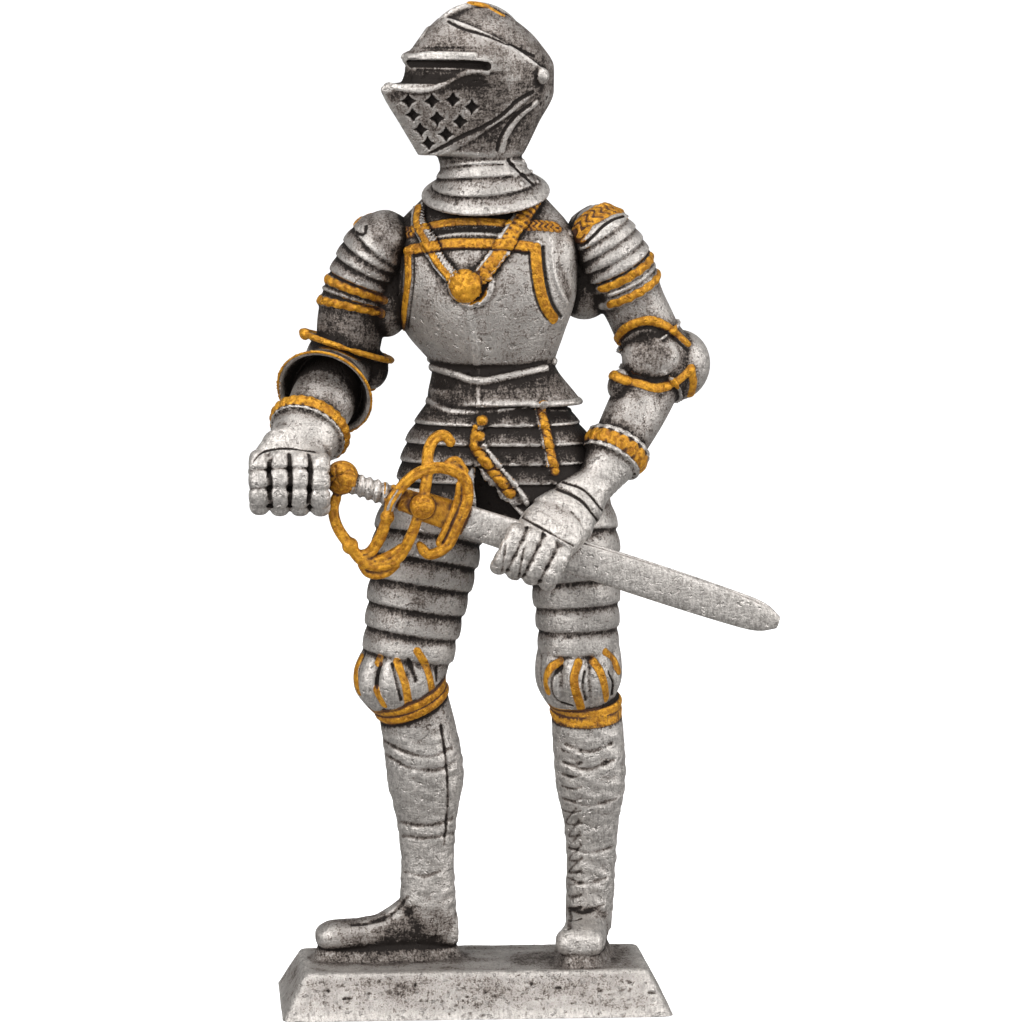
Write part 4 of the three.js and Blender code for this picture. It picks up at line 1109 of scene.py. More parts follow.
# Lines of the guard's bars. A row is a distance from the pommel, a rise across the blade and a reach
# forward, in millimetres
GUARD_AT = 8.1
RING = [(5.0, -2.0, 1), (4.9, -0.3, 1.2), (6.2, 2.8, 1.4), (8.5, 4.3, 1.4), (10.9, 4.0, 1.2)]
RING += [(11.9, 2.2, 1), (11.8, -0.6, 0.8), (11.5, -3.0, 0.5), (10.1, -4.3, 0.2), (8.7, -3.5, 0.3)]
UPPER_QUILLON = [(7.9, 0, 1.4), (7.4, 3.0, 1.3), (6.8, 5.4, 0.6)]
UPPER_QUILLON += [(7.0, 6.7, 0.4), (7.8, 7.3, 0.2), (9.0, 6.6, 0.2)]
KNUCKLE_BOW = [(7.8, -0.2, 1.4), (7.8, -3.2, 0.9), (7.2, -5.8, 0.2), (5.5, -7.0, 0), (4.0, -6.9, 0)]
KNUCKLE_BOW += [(2.5, -5.9, 0.2), (0.7, -4.5, 0.2), (-0.2, -3.0, 0.2), (-0.3, -1.2, 0)]
SIDE_ARM = [(5.0, -2.0, 1), (5.0, -4.2, 0.5), (4.5, -6.0, 0), (3.7, -6.5, 0)]
THIGH_ARM = [(4.0, -7.1, -0.2), (5.2, -7.9, -0.5), (6.6, -7.4, -0.4), (7.5, -6.0, 0)]
TOP_ARM = [(8.7, 4.4, 1.3), (9.6, 5.3, 1), (11.0, 4.4, 1.1)]
FAN = [(4.2, -7.0, -0.1), (5.5, -6.4, 0), (6.6, -5.4, 0.2), (7.5, -4.2, 0.5)]
INNER_STRAND = [(10.6, 3.6, 1.1), (11.0, 1.6, 0.9), (10.9, -0.8, 0.8), (10.6, -3.2, 0.5)]
# The pommel, the boss and two knots: a middle, an axis, and half sizes along and across it
KNOBS = [
    (on_sword(-0.4, 0.2), SWORD_ALONG, 1.65, 1.7),
    (on_sword(GUARD_AT - 0.2, 0.1, 1.6), FORWARD, 1.2, 1.25),
    (on_sword(*RING[0]), SWORD_RISE, 0.75, 0.7),
    (on_sword(2.5, -5.9, 0.2), SWORD_RISE, 0.85, 0.8),
]
# The guard's bars: a line and a radius
BARS = [(RING, 0.52), (UPPER_QUILLON, 0.52), (KNUCKLE_BOW, 0.52), (SIDE_ARM, 0.52), (THIGH_ARM, 0.5)]
BARS += [(TOP_ARM, 0.45), (FAN, 0.4), (INNER_STRAND, 0.32)]
BARS = [([on_sword(*row) for row in line], size) for line, size in BARS]


def sword_shells():
    """A blunt blade, a bound grip, a ball pommel, and a swept guard of grooved bars."""
    length = np.linalg.norm(BLADE_TIP - POMMEL)
    blade = Form(
        [on_sword(GUARD_AT), on_sword(length)],
        FORWARD,
        [
            [0, 1.45, 0.85, 0.85, 3, 3],
            [0.2, 1.6, 0.85, 0.85, 3, 3],
            [0.6, 1.8, 0.75, 0.75, 3, 3],
            [0.9, 1.65, 0.65, 0.65, 3, 3],
            [0.96, 1.35, 0.55, 0.55, 2.6, 2.6],
            [1, 0.6, 0.4, 0.4, 2, 2],
        ],
    )

    def wire(share, angle):
        """A cord wound on the grip: the cosine of the angle plus eleven turns along it."""
        return 0.13 * np.cos(angle + TAU * share * 11)

    def channel(share, angle):
        """A groove along a bar's front: a bell curve of the angle from it."""
        return -0.16 * np.exp(-((np.minimum(angle, TAU - angle) / 0.35) ** 2)) + 0 * share

    grip = bar([on_sword(0), on_sword(GUARD_AT + 1)], 0.95, wire)
    rows = [[0, 1.1, 1.1], [1, 1.5, 0.95]]
    socket = Form([on_sword(GUARD_AT - 2.2), on_sword(GUARD_AT + 4)], FORWARD, rows)
    bars = [bar(line, size, channel if size > 0.4 else None) for line, size in BARS]
    shells = [blade.shell(sides=64), grip.shell(0.06, 48), socket.shell(sides=48)]
    return shells + [b.shell(0.1, 40) for b in bars] + [ball(*knob) for knob in KNOBS]


def sword_trims(tree):
    """The gilt of the guard, its boss and the pommel, and the bare grip and blade."""
    draw = pen(tree)
    bars = [(smooth_path(line, np.linspace(0, 1, 30))[0], size) for line, size in BARS]
    # The pommel and the boss are cut by four bent lines each
    petals = [(on_sword(-0.4, 0.2), 1.7, 1.6), (on_sword(GUARD_AT - 0.2, 0.1, 1.6), 1.2, 1.15)]
    grooves = []
    for middle, ahead, wide in petals:
        for turn in np.radians([-50, -15, 20, 55]):
            across = SWORD_ALONG * math.cos(turn) + SWORD_RISE * math.sin(turn)
            over = SWORD_RISE * math.cos(turn) - SWORD_ALONG * math.sin(turn)
            s = np.linspace(-0.8, 0.8, 7)[:, None]
            bend = 0.35 * wide * (1 - s * s) * (1 if turn > 0 else -1)
            proud = FORWARD * ahead * np.sqrt(np.maximum(0.1, 1 - s * s))
            line = middle + proud + across * s * wide + over * bend
            grooves.append(Trim(line, 0.14, 0.13, "groove"))
    return [
        *[Trim(line, size + 0.22, 0, gold=1) for line, size in bars],
        *[Trim(np.array([knob[0]]), knob[3] + 0.25, 0, gold=1) for knob in KNOBS],
        Trim(np.array([on_sword(1.9), on_sword(4.3)]), 1.25, 0, gold=-1),
        Trim(np.array([on_sword(6.4), on_sword(10.4)]), 1.75, 0, gold=1),
        draw([(560, 536), (650, 563), (720, 586), (766, 606)], 0.2, 0.1, "groove", wash=0.5),
        *grooves,
    ]


# The legs, the boots and the plinth


def knee_forms(knee, front, strap_at, lean, girth):
    """A puffed knee with gores over its front, and a strap of two rolls that leans under it."""
    gores = 9

    def relief(share, angle):
        """Nine rounded gores: |cos| of the angle, fading to the back and to both ends."""
        shape = np.maximum(0, np.cos(angle)) ** 0.6 * np.sin(np.pi * np.clip(share, 0, 1))
        return 0.4 * shape * (np.abs(np.cos(gores * angle / 2)) ** 0.8 * 2 - 1)

    low = knee + 0.3 * (strap_at - knee)
    puff = Form(
        [knee + 3.9 * UP, knee, vec(low[0], low[1], knee[2] - 2.9)],
        front,
        [
            [0, 3.8, 3.4, 3.6],
            [0.16, 4.1, 4.1, 3.8],
            [0.4, 4.3, 4.8, 3.9],
            [0.65, 4.2, 4.8, 3.9],
            [0.88, 3.6, 3.9, 3.6],
            [1, 3.2, 3.3, 3.3],
        ],
        relief=relief,
    )
    tilt = unit(front * lean + UP)
    rows = [[0, 3.6], [0.1, 3.9], [0.3, 4.02], [0.47, 3.86], [0.5, 3.7]]
    rows += [[0.53, 3.86], [0.72, 4.0], [0.9, 3.85], [1, 3.5]]
    table = [[share, size * girth, size * girth] for share, size in rows]
    return puff, Form([strap_at + tilt, strap_at - tilt], front, table)


def thigh_form(path, front, girth=1.0):
    """A thigh in hooped plates."""
    laps = lapped(0.1, 0.86, 6, proud=0.34, belly=0.16)
    rows = [[0, 5.0, 4.9, 5.0], [0.3, 5.1, 5.2, 5.2], [0.6, 4.5, 4.8, 4.7], [1, 4.0, 4.1, 4.1]]
    rows = [[share, half * girth, *reach] for share, half, *reach in rows]
    return Form(path, front, rows, **laps)


def foot_shells(heel, toe):
    """A boot's foot from heel to blunt toe, on the mound of metal that joins it to the plinth."""
    along = unit(toe - heel)
    side = np.cross(UP, along)
    middle = (heel + toe) / 2
    half = np.linalg.norm(toe - heel) / 2
    raised = UP * BALL_DEPTH
    lasted = Form(
        [heel + raised, middle + raised, toe + raised],
        UP,
        [
            [0, 1.3, 1.9, 1.0, 2, 3],
            [0.06, 1.9, 3.0, BALL_DEPTH, 2, 3],
            [0.35, 2.1, 3.8, BALL_DEPTH, 2, 3],
            [0.55, 2.2, 2.1, BALL_DEPTH, 2, 3],
            [0.7, 2.4, 1.6, BALL_DEPTH, 2.2, 3],
            [0.9, 2.4, 1.4, BALL_DEPTH, 2.4, 3],
            [0.97, 1.9, 1.0, 1.2, 2.2, 3],
            [1, 1.3, 0.5, 0.8, 2, 3],
        ],
    )
    spreads = [(-CAST_OVERLAP, MOUND_SPREAD), (SOLE_LIFT * 0.4, MOUND_SPREAD / 2)]
    spreads += [(SOLE_LIFT + CAST_OVERLAP, 0)]
    angles = np.linspace(0, TAU, 96, endpoint=False)
    heights = np.linspace(spreads[0][0], spreads[-1][0], 12)
    grow = table_at(spreads, heights)[:, 0]
    long, square = half - 0.2 + grow, 2.6 + 0 * grow
    reach = np.stack([2.1 + grow, long, long, square, square], axis=1)
    lengthways, across = section(reach, angles)
    base = vec(middle[0], middle[1], 0) + UP * heights[:, None, None]
    mound = closed(base + along * lengthways[..., None] + side * across[..., None])
    return [lasted.shell(step=0.14, sides=96), mound]


def calf_form(stations, front):
    """A boot's leg: rounded sections that swell at the calf and narrow to the ankle."""
    rows = [
        [0, 3.5, 3.4, 3.7],
        [0.15, 3.6, 3.5, 4.0],
        [0.35, 3.5, 3.6, 4.1],
        [0.52, 2.8, 3.0, 3.1],
        [0.68, 2.5, 2.75, 2.65],
        [0.85, 2.45, 2.9, 2.7],
        [1, 2.3, 2.9, 2.9],
    ]
    return Form(stations, front, rows)


def plinth_shell():
    """Superellipses of power 26 from the underside to the worn upper edge and over the slightly sunk top."""
    half, deep = TOE_REACH + PLINTH_LEDGE_SIDE, FOOT_REACH + PLINTH_LEDGE_FRONT
    worn, rim, sunk = PLINTH_CORNER / 4, 1.5, 0.12
    n = 2 / 26
    levels = [
        (PLINTH_SLOPE_SIDE, PLINTH_SLOPE_FRONT, 0),
        (worn, worn, PLINTH_HEIGHT - worn),
        (-worn, -worn, PLINTH_HEIGHT),
        (-worn - rim, -worn - rim, PLINTH_HEIGHT - sunk),
    ]
    angles = np.linspace(0, TAU, 240, endpoint=False)
    rings = []
    for more_side, more_front, height in levels:
        x, y = half + more_side, deep + more_front
        c, s = np.cos(angles), np.sin(angles)
        ring = np.stack([np.sign(c) * np.abs(c) ** n * x, np.sign(s) * np.abs(s) ** n * y], axis=1)
        rings.append(np.column_stack([ring, np.full(len(angles), height - PLINTH_HEIGHT)]))
    return closed(np.array(rings))


FRONT_RIGHT = turned(55)
FRONT_LEFT = turned(10)
KNEES = [
    knee_forms(KNEE_RIGHT, FRONT_RIGHT, vec(-6.2, 0.6, 26.6), 0.5, 1.0),
    knee_forms(KNEE_LEFT, FRONT_LEFT, vec(11.5, 0.9, 25.5), 0.25, 0.92),
]


def leg_shells():
    """The thighs, the boots, the puffed knees with their straps, the feet and the plinth."""
    thighs = [
        thigh_form([vec(-3.6, 1.7, 47.0), vec(-5.2, 0.6, 38.0), KNEE_RIGHT], FRONT_RIGHT),
        thigh_form([vec(9.4, 1.7, 47.0), vec(10.45, 0.5, 37.5), KNEE_LEFT], FRONT_LEFT, 0.89),
    ]
    right_path = [vec(-6.1, 0.8, 26.4), vec(-4.9, 1.4, 18.6), vec(-4.4, 1.9, 11), vec(-4.2, 2.0, 2.4)]
    left_path = [vec(11.5, 0.6, 25.6), vec(12.0, 1.2, 18.6), vec(12.2, 2.2, 11), vec(12.0, 3.0, 2.4)]
    calves = [calf_form(right_path, turned(85)), calf_form(left_path, turned(8))]
    feet = foot_shells(vec(-1.4, 2.2, SOLE_LIFT), vec(-TOE_REACH, 1.2, SOLE_LIFT))
    feet += foot_shells(vec(12.5, 5.6, SOLE_LIFT), vec(10.2, -FOOT_REACH, SOLE_LIFT))
    knees = [form.shell(step=0.12, sides=180) for pair in KNEES for form in pair]
    return [form.shell() for form in thighs + calves] + knees + feet + [plinth_shell()]


def leg_trims(tree):
    """The gilt slashes of the knees, the gilt rolls under them, and the boots' seams."""
    draw = pen(tree)
    slashes = [
        [(361, 657), (356, 668), (355.5, 680), (359, 692)],
        [(381, 657), (378.5, 663)],
        [(377, 689), (380, 697), (384, 705)],
        [(397, 661), (402, 674), (406, 688), (408.5, 703)],
        [(417, 651), (424, 662), (429, 675), (432, 690)],
        [(561, 661), (550, 668), (545, 680), (547, 692)],
        [(578.5, 662), (574, 678), (576, 693), (581, 708)],
        [(593, 661), (600, 671), (604.5, 684), (607, 699)],
        [(605, 652), (612, 658), (619, 671)],
    ]
    furrows = [
        [(381, 664), (378, 676), (377, 687)],
        [(408, 659), (412, 669), (416, 681)],
        [(562, 667), (553, 676), (551, 687), (556, 700), (572, 706)],
        [(392, 664), (396, 680), (401, 700)],
        [(436, 668), (437, 680)],
        [(585, 672), (583, 686), (586, 700)],
        [(609, 672), (613, 684), (612, 694)],
    ]
    seam = [(441, 726), (446, 760), (448, 800), (444, 844)]
    folds = [
        [(384, 741), (402, 751), (430, 757), (452, 748)],
        [(386, 755), (410, 768), (438, 770), (455, 762)],
        [(398, 822), (425, 826), (452, 820)],
        [(402, 836), (428, 838), (455, 833)],
        [(404, 872), (425, 876), (440, 872)],
        [(372, 921), (392, 914), (408, 897)],
        [(352, 925), (372, 923), (384, 920)],
        [(566, 745), (588, 752), (612, 744)],
        [(563, 762), (585, 770), (614, 760)],
        [(566, 800), (590, 806), (616, 799)],
        [(568, 848), (590, 853), (613, 847)],
        [(567, 878), (585, 884), (606, 878)],
        [(562, 906), (582, 912), (603, 905)],
    ]
    rungs = [[(562, y), (573, y + 3), (581, y + 1)] for y in range(750, 930, 12)]
    return [
        *[draw(line, 0.42, 0.05, "round", gold=1) for line in slashes],
        *[draw(line, 0.26, 0.2, "groove", wash=0.4) for line in furrows],
        # Patina and painted shade between the strap's two rolls and along its edges
        *[Trim(strap.ring(0.5), 0.2, 0.0, wash=0.8) for _, strap in KNEES],
        *[Trim(strap.ring(share), 0.4, wash=0.7) for _, strap in KNEES for share in (0.0, 1.0)],
        *[Trim(strap.ring(share), 0.55, 0.0, gold=1) for _, strap in KNEES for share in (0.27, 0.73)],
        draw(seam, 0.24, 0.14, "groove", wash=0.4),
        *[draw(line, 0.34, 0.10, "groove", wash=0.2) for line in folds],
        *[draw([(x, y + 5) for x, y in line], 0.5, 0.05, "round") for line in folds],
        *[draw(line, 0.24, 0.07, "groove", wash=0.35) for line in rungs],
        draw([(649, 992), (656, 992)], 0.2, 0.4, "groove"),
    ]


def boot_creases(points):
    """Folds of soft leather: waves along slanted, bent planes, stronger at the ankle."""
    x, y, z = points.T
    bend = 1.8 * speckle(points, 4.5, 3) + 0.8 * speckle(points, 1.7, 4)
    wave = np.sin(TAU * (z * 0.62 + 0.16 * x + 0.1 * y) + 5 * bend)
    cross = np.sin(TAU * (z * 0.4 - 0.3 * x) + 6 * bend)
    soft = 0.2 + 0.8 * speckle(points, 3.1, 5)
    where = ease(z, 24.6, 22.0) * (0.35 + 0.65 * ease(z, 3.2, 5.0)) * ease(z, 0.6, 2.0)
    fine = speckle(points, 0.34, 6) + speckle(points, 0.7, 10) - 1
    return where * (0.055 * soft * (wave + 0.6 * cross) + 0.06 * fine)


def plinth_wear(points, normals):
    """Pits where coarse noise peaks on the front and the ends, and a shallow unevenness all over."""
    low = ease(points[:, 2], -0.05, -0.4)
    pit = ease(speckle(points, 0.36, 7) * 0.75 + speckle(points, 1.1, 8) * 0.25, 0.73, 0.86)
    broad = speckle(points, 2.6, 9) - 0.5
    under = ease(normals[:, 2], -0.9, -0.6)
    ground = ease(points[:, 2], 0.4, 0.0)
    return under * ground * (-0.16 * pit * low + 0.10 * broad + 0.03 * (speckle(points, 0.4, 12) - 0.5))


# What the casting's shape says about its patina and its painted shade

FINE_TIMES, SOFT_TIMES = 4, 18


def column_fill(trees, low, high, cell):
    """Which cells of a grid lie in metal: sight lines up each column count walls in and out."""
    counts = np.ceil((high - low) / cell).astype(int)
    fill = np.zeros(counts)
    heights = low[2] + (np.arange(counts[2]) + 0.5) * cell
    for i in range(counts[0]):
        for j in range(counts[1]):
            x, y = low[0] + (i + 0.5) * cell, low[1] + (j + 0.5) * cell
            for tree in trees:
                z, deep = low[2] - 1, 0
                marks = []
                while True:
                    place, normal, _, _ = tree.ray_cast(Vector((x, y, z)), Vector((0, 0, 1)))
                    if place is None:
                        break
                    marks.append((place[2], 1 if normal[2] < 0 else -1))
                    z = place[2] + 0.01
                for (start, sign), (end, _) in zip(marks[:-1], marks[1:]):
                    deep += sign
                    if deep > 0:
                        fill[i, j, (heights > start) & (heights < end)] = 1
    return fill


def box_blur(grid, reach):
    """The mean over a cube of cells, one axis after another, from running sums."""
    for axis in range(3):
        before, after = grid.take([0], axis), grid.take([-1], axis)
        padded = [np.repeat(before, reach + 1, axis), grid, np.repeat(after, reach, axis)]
        padded = np.concatenate(padded, axis)
        total = np.cumsum(padded, axis)
        size = grid.shape[axis]
        upper = total.take(np.arange(2 * reach + 1, 2 * reach + 1 + size), axis)
        grid = (upper - total.take(np.arange(size), axis)) / (2 * reach + 1)
    return grid


def sampled(grid, low, cell, points):
    """Grid values at points, blended between the eight nearest cells."""
    place = np.clip((points - low) / cell - 0.5, 0, np.array(grid.shape) - 1.001)
    base = place.astype(int)
    return corner_blend(grid, base, place - base)


def hollowness(points, faces, normals):
    """How hollow the surface is, finely and softly: the neighbours' rise over each point by their distance
    squared, as a mean that is then smoothed over the mesh."""
    a, b = edges_of(faces)
    step = points[b] - points[a]
    square = np.maximum(np.sum(step**2, axis=1), 1e-4)
    rise_a = np.sum(step * normals[a], axis=1) / square
    rise_b = -np.sum(step * normals[b], axis=1) / square
    count = len(points)
    degree = np.bincount(a, minlength=count) + np.bincount(b, minlength=count)
    mean = (summed(a, rise_a, count) + summed(b, rise_b, count)) / np.maximum(degree, 1)
    return spread((a, b), mean, FINE_TIMES), spread((a, b), mean, SOFT_TIMES)


# Materials


class Value:
    """A number that varies over a material. Adding, taking away and multiplying each make a node."""

    def __init__(self, nodes, socket):
        self.nodes = nodes
        self.socket = socket

    def math(self, operation, *others):
        """A Math node on this socket and others."""
        return Value(self.nodes, self.nodes.add("Math", {"operation": operation}, self, *others))

    def __add__(self, other):
        return self.math("ADD", other)

    def __sub__(self, other):
        return self.math("SUBTRACT", other)

    def __mul__(self, other):
        return self.math("MULTIPLY", other)

    def __rsub__(self, other):
        return Value(self.nodes, self.nodes.add("Math", {"operation": "SUBTRACT"}, other, self))

    __radd__ = __add__
    __rmul__ = __mul__

    def eased(self, low, high):
        """0 at low and 1 at high, with a smooth step between them."""
        settings = {"interpolation_type": "SMOOTHSTEP"}
        return Value(self.nodes, self.nodes.add("MapRange", settings, self, low, high, 0.0, 1.0))


class Nodes:
    """A material's node tree: add makes a node of a type, with its settings and its sockets' values."""

    def __init__(self, name):
        self.material = bpy.data.materials.new(name)
        self.material.use_nodes = True
        self.tree = self.material.node_tree
        self.surface = self.tree.nodes["Principled BSDF"]

    def add(self, kind, settings, *inputs, output=0, **named):
        """A node of a kind: first its settings, then the values or links of its sockets."""
        node = self.tree.nodes.new("ShaderNode" + kind)
        for key, value in settings.items():
            setattr(node, key, value)
        for key, value in [*enumerate(inputs), *named.items()]:
            self.feed(node.inputs[key], value)
        return node.outputs[output]

    def feed(self, socket, value):
        """Links a socket, or sets its own value."""
        value = value.socket if isinstance(value, Value) else value
        if isinstance(value, bpy.types.NodeSocket):
            self.tree.links.new(value, socket)
        else:
            socket.default_value = value

    def attribute(self, name):
        """A number that the mesh keeps at its points."""
        return Value(self, self.add("Attribute", {"attribute_name": name}, output="Fac"))

    def noise(self, place, scale, detail=3.0, rough=0.5):
        """Smooth noise from 0 to 1 by place."""
        settings = {"noise_dimensions": "3D"}
        made = self.add("TexNoise", settings, Vector=place, Scale=scale, Detail=detail, Roughness=rough)
        return Value(self, made)

    def blend(self, share, first, second):
        """One colour over another by a share."""
        node = self.tree.nodes.new("ShaderNodeMix")
        node.data_type = "RGBA"
        self.feed(node.inputs["Factor"], share)
        self.feed(node.inputs[6], first)
        self.feed(node.inputs[7], second)
        return node.outputs[2]


# Colours of the metal, from rubbed bright to black patina and painted shade, of the paint, its grime and
# painted shade, and the drawn lines
BARE_METAL, RUBBED_METAL = (0.31, 0.288, 0.268, 1), (0.65, 0.613, 0.578, 1)
STAINED_AND_SHADED_METAL, BLACK_PATINA_AND_SHADE = (0.17, 0.144, 0.127, 1), (0.014, 0.010, 0.008, 1)
DEEP_GOLD, LIGHT_GOLD = (0.27, 0.106, 0.005, 1), (0.55, 0.262, 0.018, 1)
GRIMY_SHADED_GOLD, DARK_LINE = (0.05, 0.015, 0.003, 1), (0.016, 0.012, 0.010, 1)
PAPER_GLOW, ROOM_LIGHT = 0.55, 0.24


def pewter_with_gold():
    """Antiqued pewter: bright where it was rubbed, near black in the recesses from patina and painted shade,
    with hand-painted gold.
    """
    n = Nodes("antiqued_pewter_gold_trim_painted_shade")
    place = n.add("TexCoord", {}, output="Object")
    recess_patina_and_shade, gilt, line = n.attribute("recess_patina_and_shade"), n.attribute("gilt"), n.attribute("dark")
    tarnish_and_shade = n.attribute("tarnish_and_shade")

    grain = n.noise(place, 5200, 2.0, 0.6)
    patchy = n.noise(place, 420, 4.0, 0.6)
    broad = n.noise(place, 90, 2.0)
    # Scratches and brush marks are noise that is stretched along a turned axis
    stretched = []
    for turn, scale in [((0.6, 0.5, 0.35), (3600, 1000, 1200)), ((0.55, -0.7, 0.3), (900, 800, 3000))]:
        slant = n.add("Mapping", {"vector_type": "POINT"}, place, (0, 0, 0), turn, scale)
        stretched.append(n.noise(slant, 1.0, 3.0, 0.65))
    scratch, brushed = stretched

    # Shade is the patina and painted shade of the recesses, made uneven by the marks: from rubbed metal
    # through a brown stain to black
    worn = 0.6 * (patchy - 0.5) + 0.75 * (scratch - 0.5) + 0.6 * (brushed - 0.5) + 0.95 * (grain - 0.5)
    shade = (recess_patina_and_shade + 0.5 * tarnish_and_shade + worn).eased(-0.05, 0.85)
    streaks = (0.4 * scratch + 0.3 * brushed + 0.3 * grain).eased(0.38, 0.62)
    bright = n.blend(streaks, BARE_METAL, RUBBED_METAL)
    middle = n.blend(shade.eased(0.0, 0.5), bright, STAINED_AND_SHADED_METAL)
    metal = n.blend(shade.eased(0.4, 0.95), middle, BLACK_PATINA_AND_SHADE)

    # The paint is laid on in daubs, its grime and painted shade follow the recesses, and its edges wander a
    # little
    daubs = n.noise(place, 1700, 3.0, 0.6)
    strokes = (0.7 * daubs + 0.3 * broad).eased(0.38, 0.62)
    paint = n.blend(strokes, DEEP_GOLD, LIGHT_GOLD)
    grime_and_shade = recess_patina_and_shade + 0.4 * tarnish_and_shade + 0.9 * (patchy - 0.5) + 0.5 * (grain - 0.5)
    gold = n.blend(grime_and_shade.eased(0.1, 0.8), paint, GRIMY_SHADED_GOLD)
    inside = (gilt + 0.22 * (patchy - 0.5)).eased(-0.05, 0.07)
    drawn = (line + 0.1 * (patchy - 0.5)).eased(-0.06, 0.18)
    colour = n.blend(inside, metal, gold)
    colour = n.blend(0.85 * drawn, colour, DARK_LINE)

    n.feed(n.surface.inputs["Base Color"], colour)
    # Rubbed metal shines, dark metal is duller, and paint hides the metal
    rough = 0.52 + 0.16 * shade + 0.10 * (patchy - 0.5) - 0.06 * inside
    n.feed(n.surface.inputs["Roughness"], rough)
    n.feed(n.surface.inputs["Metallic"], 0.9 - 0.28 * inside - 0.25 * shade)
    pits = (n.noise(place, 1500, 2.0, 0.5)).eased(0.60, 0.74)
    relief = 0.6 * grain + 0.5 * scratch + 0.4 * brushed + 0.6 * patchy - 1.5 * pits + 1.6 * (inside * daubs)
    n.feed(n.surface.inputs["Normal"], n.add("Bump", {}, Strength=0.8, Distance=0.00015, Height=relief))
    return n.material


# Putting the casting together

# Each part's shells and trims, the cell that fuses it, in millimetres, and the triangles that it keeps
CASTINGS = {
    "helmet_and_collar": (helmet_shells, helmet_trims, 0.12, 170000),
    "breastplate_and_skirt": (body_shells, body_trims, 0.14, 190000),
    "arms_and_gauntlets": (arm_shells, arm_trims, 0.14, 190000),
    "sword": (sword_shells, sword_trims, 0.11, 130000),
    "legs_and_plinth": (leg_shells, leg_trims, 0.16, 190000),
}

# Where a part is smoothed into soft metal: a place and a reach
SOFTENED = {
    "arms_and_gauntlets": [
        (WRIST_RIGHT + vec(-0.4, -2.2, 0.4), 3.6),
        (WRIST_LEFT + vec(-0.2, -1.5, 0.0), 2.6),
    ],
}
SOFTEN_TIMES, EVEN_TIMES = 60, 6


def fused_and_dressed(name):
    """A part of the casting: fused, smoothed, raised and cut by its trims, and thinned."""
    shells, trims, fine, keep = CASTINGS[name]
    points, faces = modified(joined(shells()), "REMESH", mode="VOXEL", voxel_size=fine)
    ends = edges_of(faces)
    points = evened(ends, points, EVEN_TIMES)
    for middle, reach in SOFTENED.get(name, []):
        share = ease(np.linalg.norm(points - middle, axis=1), reach, 0.6 * reach)[:, None]
        points = points + share * (spread(ends, points, SOFTEN_TIMES) - points)
    tree = tree_of(points, faces)
    trims = trims(tree)
    stars = []
    if name == "helmet_and_collar":
        stars = [traced(tree, [pixel])[0] for pixel in STAR_PIXELS]
        stars += [mirrored(star[None])[0] for star in stars]
    normals = normals_of(points, faces)
    rise = surveyed(trims, points, normals)[0]
    if stars:
        rise = rise - STAR_DEPTH * ease(starred(stars, points, normals), -0.05, 0.3)
    if name == "legs_and_plinth":
        rise = rise + boot_creases(points) + plinth_wear(points, normals)
    points = points + normals * rise[:, None]
    if len(faces) > keep:
        points, faces = modified((points, faces), "DECIMATE", ratio=keep / len(faces))
    return points, faces, trims, stars


def patina_and_painted_shade(name, points, gilt, fine, recess_patina_and_shade):
    """A part's recess and tarnish, each partly patina and partly painted shade: shares that are added where
    its heights and widths ease in and out.
    """
    x, _, z = points.T
    if name == "helmet_and_collar":
        tarnish_and_shade = 0.95 - 0.05 * ease(z, 90.0, 93.0) - 0.4 * ease(z, 80.5, 78.5)
        recess_patina_and_shade = recess_patina_and_shade - 0.5 * ease(np.abs(z - 80.2), 1.3, 0.5)
    elif name == "breastplate_and_skirt":
        skirt, flange = ease(z, 56.6, 55.2), ease(np.abs(z - 58.0), 2.6, 0.8)
        tarnish_and_shade = 0.3 + 0.9 * skirt + 0.3 * ease(z, 71.5, 73.0) + 0.7 * flange
        # The convex edges of the skirt's hoops are lightened: rubbed metal, and a painted highlight along
        # them
        recess_patina_and_shade = recess_patina_and_shade - 0.9 * ease(-fine, 0.25, 1.0) * skirt
    elif name == "arms_and_gauntlets":
        right = x < -8
        hands = ease(np.where(right, z - 4.0, z), 52.0, 50.0)
        # The outer side of the left upper arm is lighter: a painted highlight
        tarnish_and_shade = 0.62 - 0.5 * hands - 0.2 * ease(x, 12.0, 16.0) * ease(z, 62.0, 65.0)
        tarnish_and_shade = tarnish_and_shade + np.where(right, 0.6 * ease(z, 48.0, 46.5) - 0.2 * ease(z, 56.0, 54.0), 0)
        # The right upper arm is darker above the elbow: painted shade
        tarnish_and_shade = tarnish_and_shade + 0.4 * ease(z, 62.0, 66.0) * ease(x, 0, -4.0)
    elif name == "sword":
        tarnish_and_shade = np.where(gilt > 0, 1.1, 0.0)
    else:
        thighs = ease(z, 20.0, 30.0) * (1 - 0.45 * ease(x, 4.0, 8.0))
        right_foot = ease(z, 7.0, 3.0) * ease(z, 0.7, 1.3) * ease(x, 3.0, -2.0)
        knees = ease(np.abs(z - 29.0), 4.0, 2.5)
        slopes = 0.25 * ease(z, 0.0, -0.4) + 0.5 * ease(z, -3.4, -4.1)
        tarnish_and_shade = 0.5 * thighs + 0.8 * right_foot + 0.2 - 0.4 * knees + slopes
        recess_patina_and_shade = np.minimum(recess_patina_and_shade, 0.3 + 0.8 * ease(np.abs(z), 0.8, 1.4))
    return recess_patina_and_shade, tarnish_and_shade


parts = {name: fused_and_dressed(name) for name in CASTINGS}

# How full of metal the space round each place is, which darkens it as patina and painted shade: cells in
# millimetres, and blurs counted in cells
CELL = 0.25
ROOM = 4.0
NEAR_REACH, FAR_REACH = 2, 7
low = np.min([points.min(axis=0) for points, _, _, _ in parts.values()], axis=0) - ROOM
high = np.max([points.max(axis=0) for points, _, _, _ in parts.values()], axis=0) + ROOM
fill = column_fill([tree_of(points, faces) for points, faces, _, _ in parts.values()], low, high, CELL)
near_fill, far_fill = (box_blur(box_blur(fill, reach), reach) for reach in (NEAR_REACH, FAR_REACH))

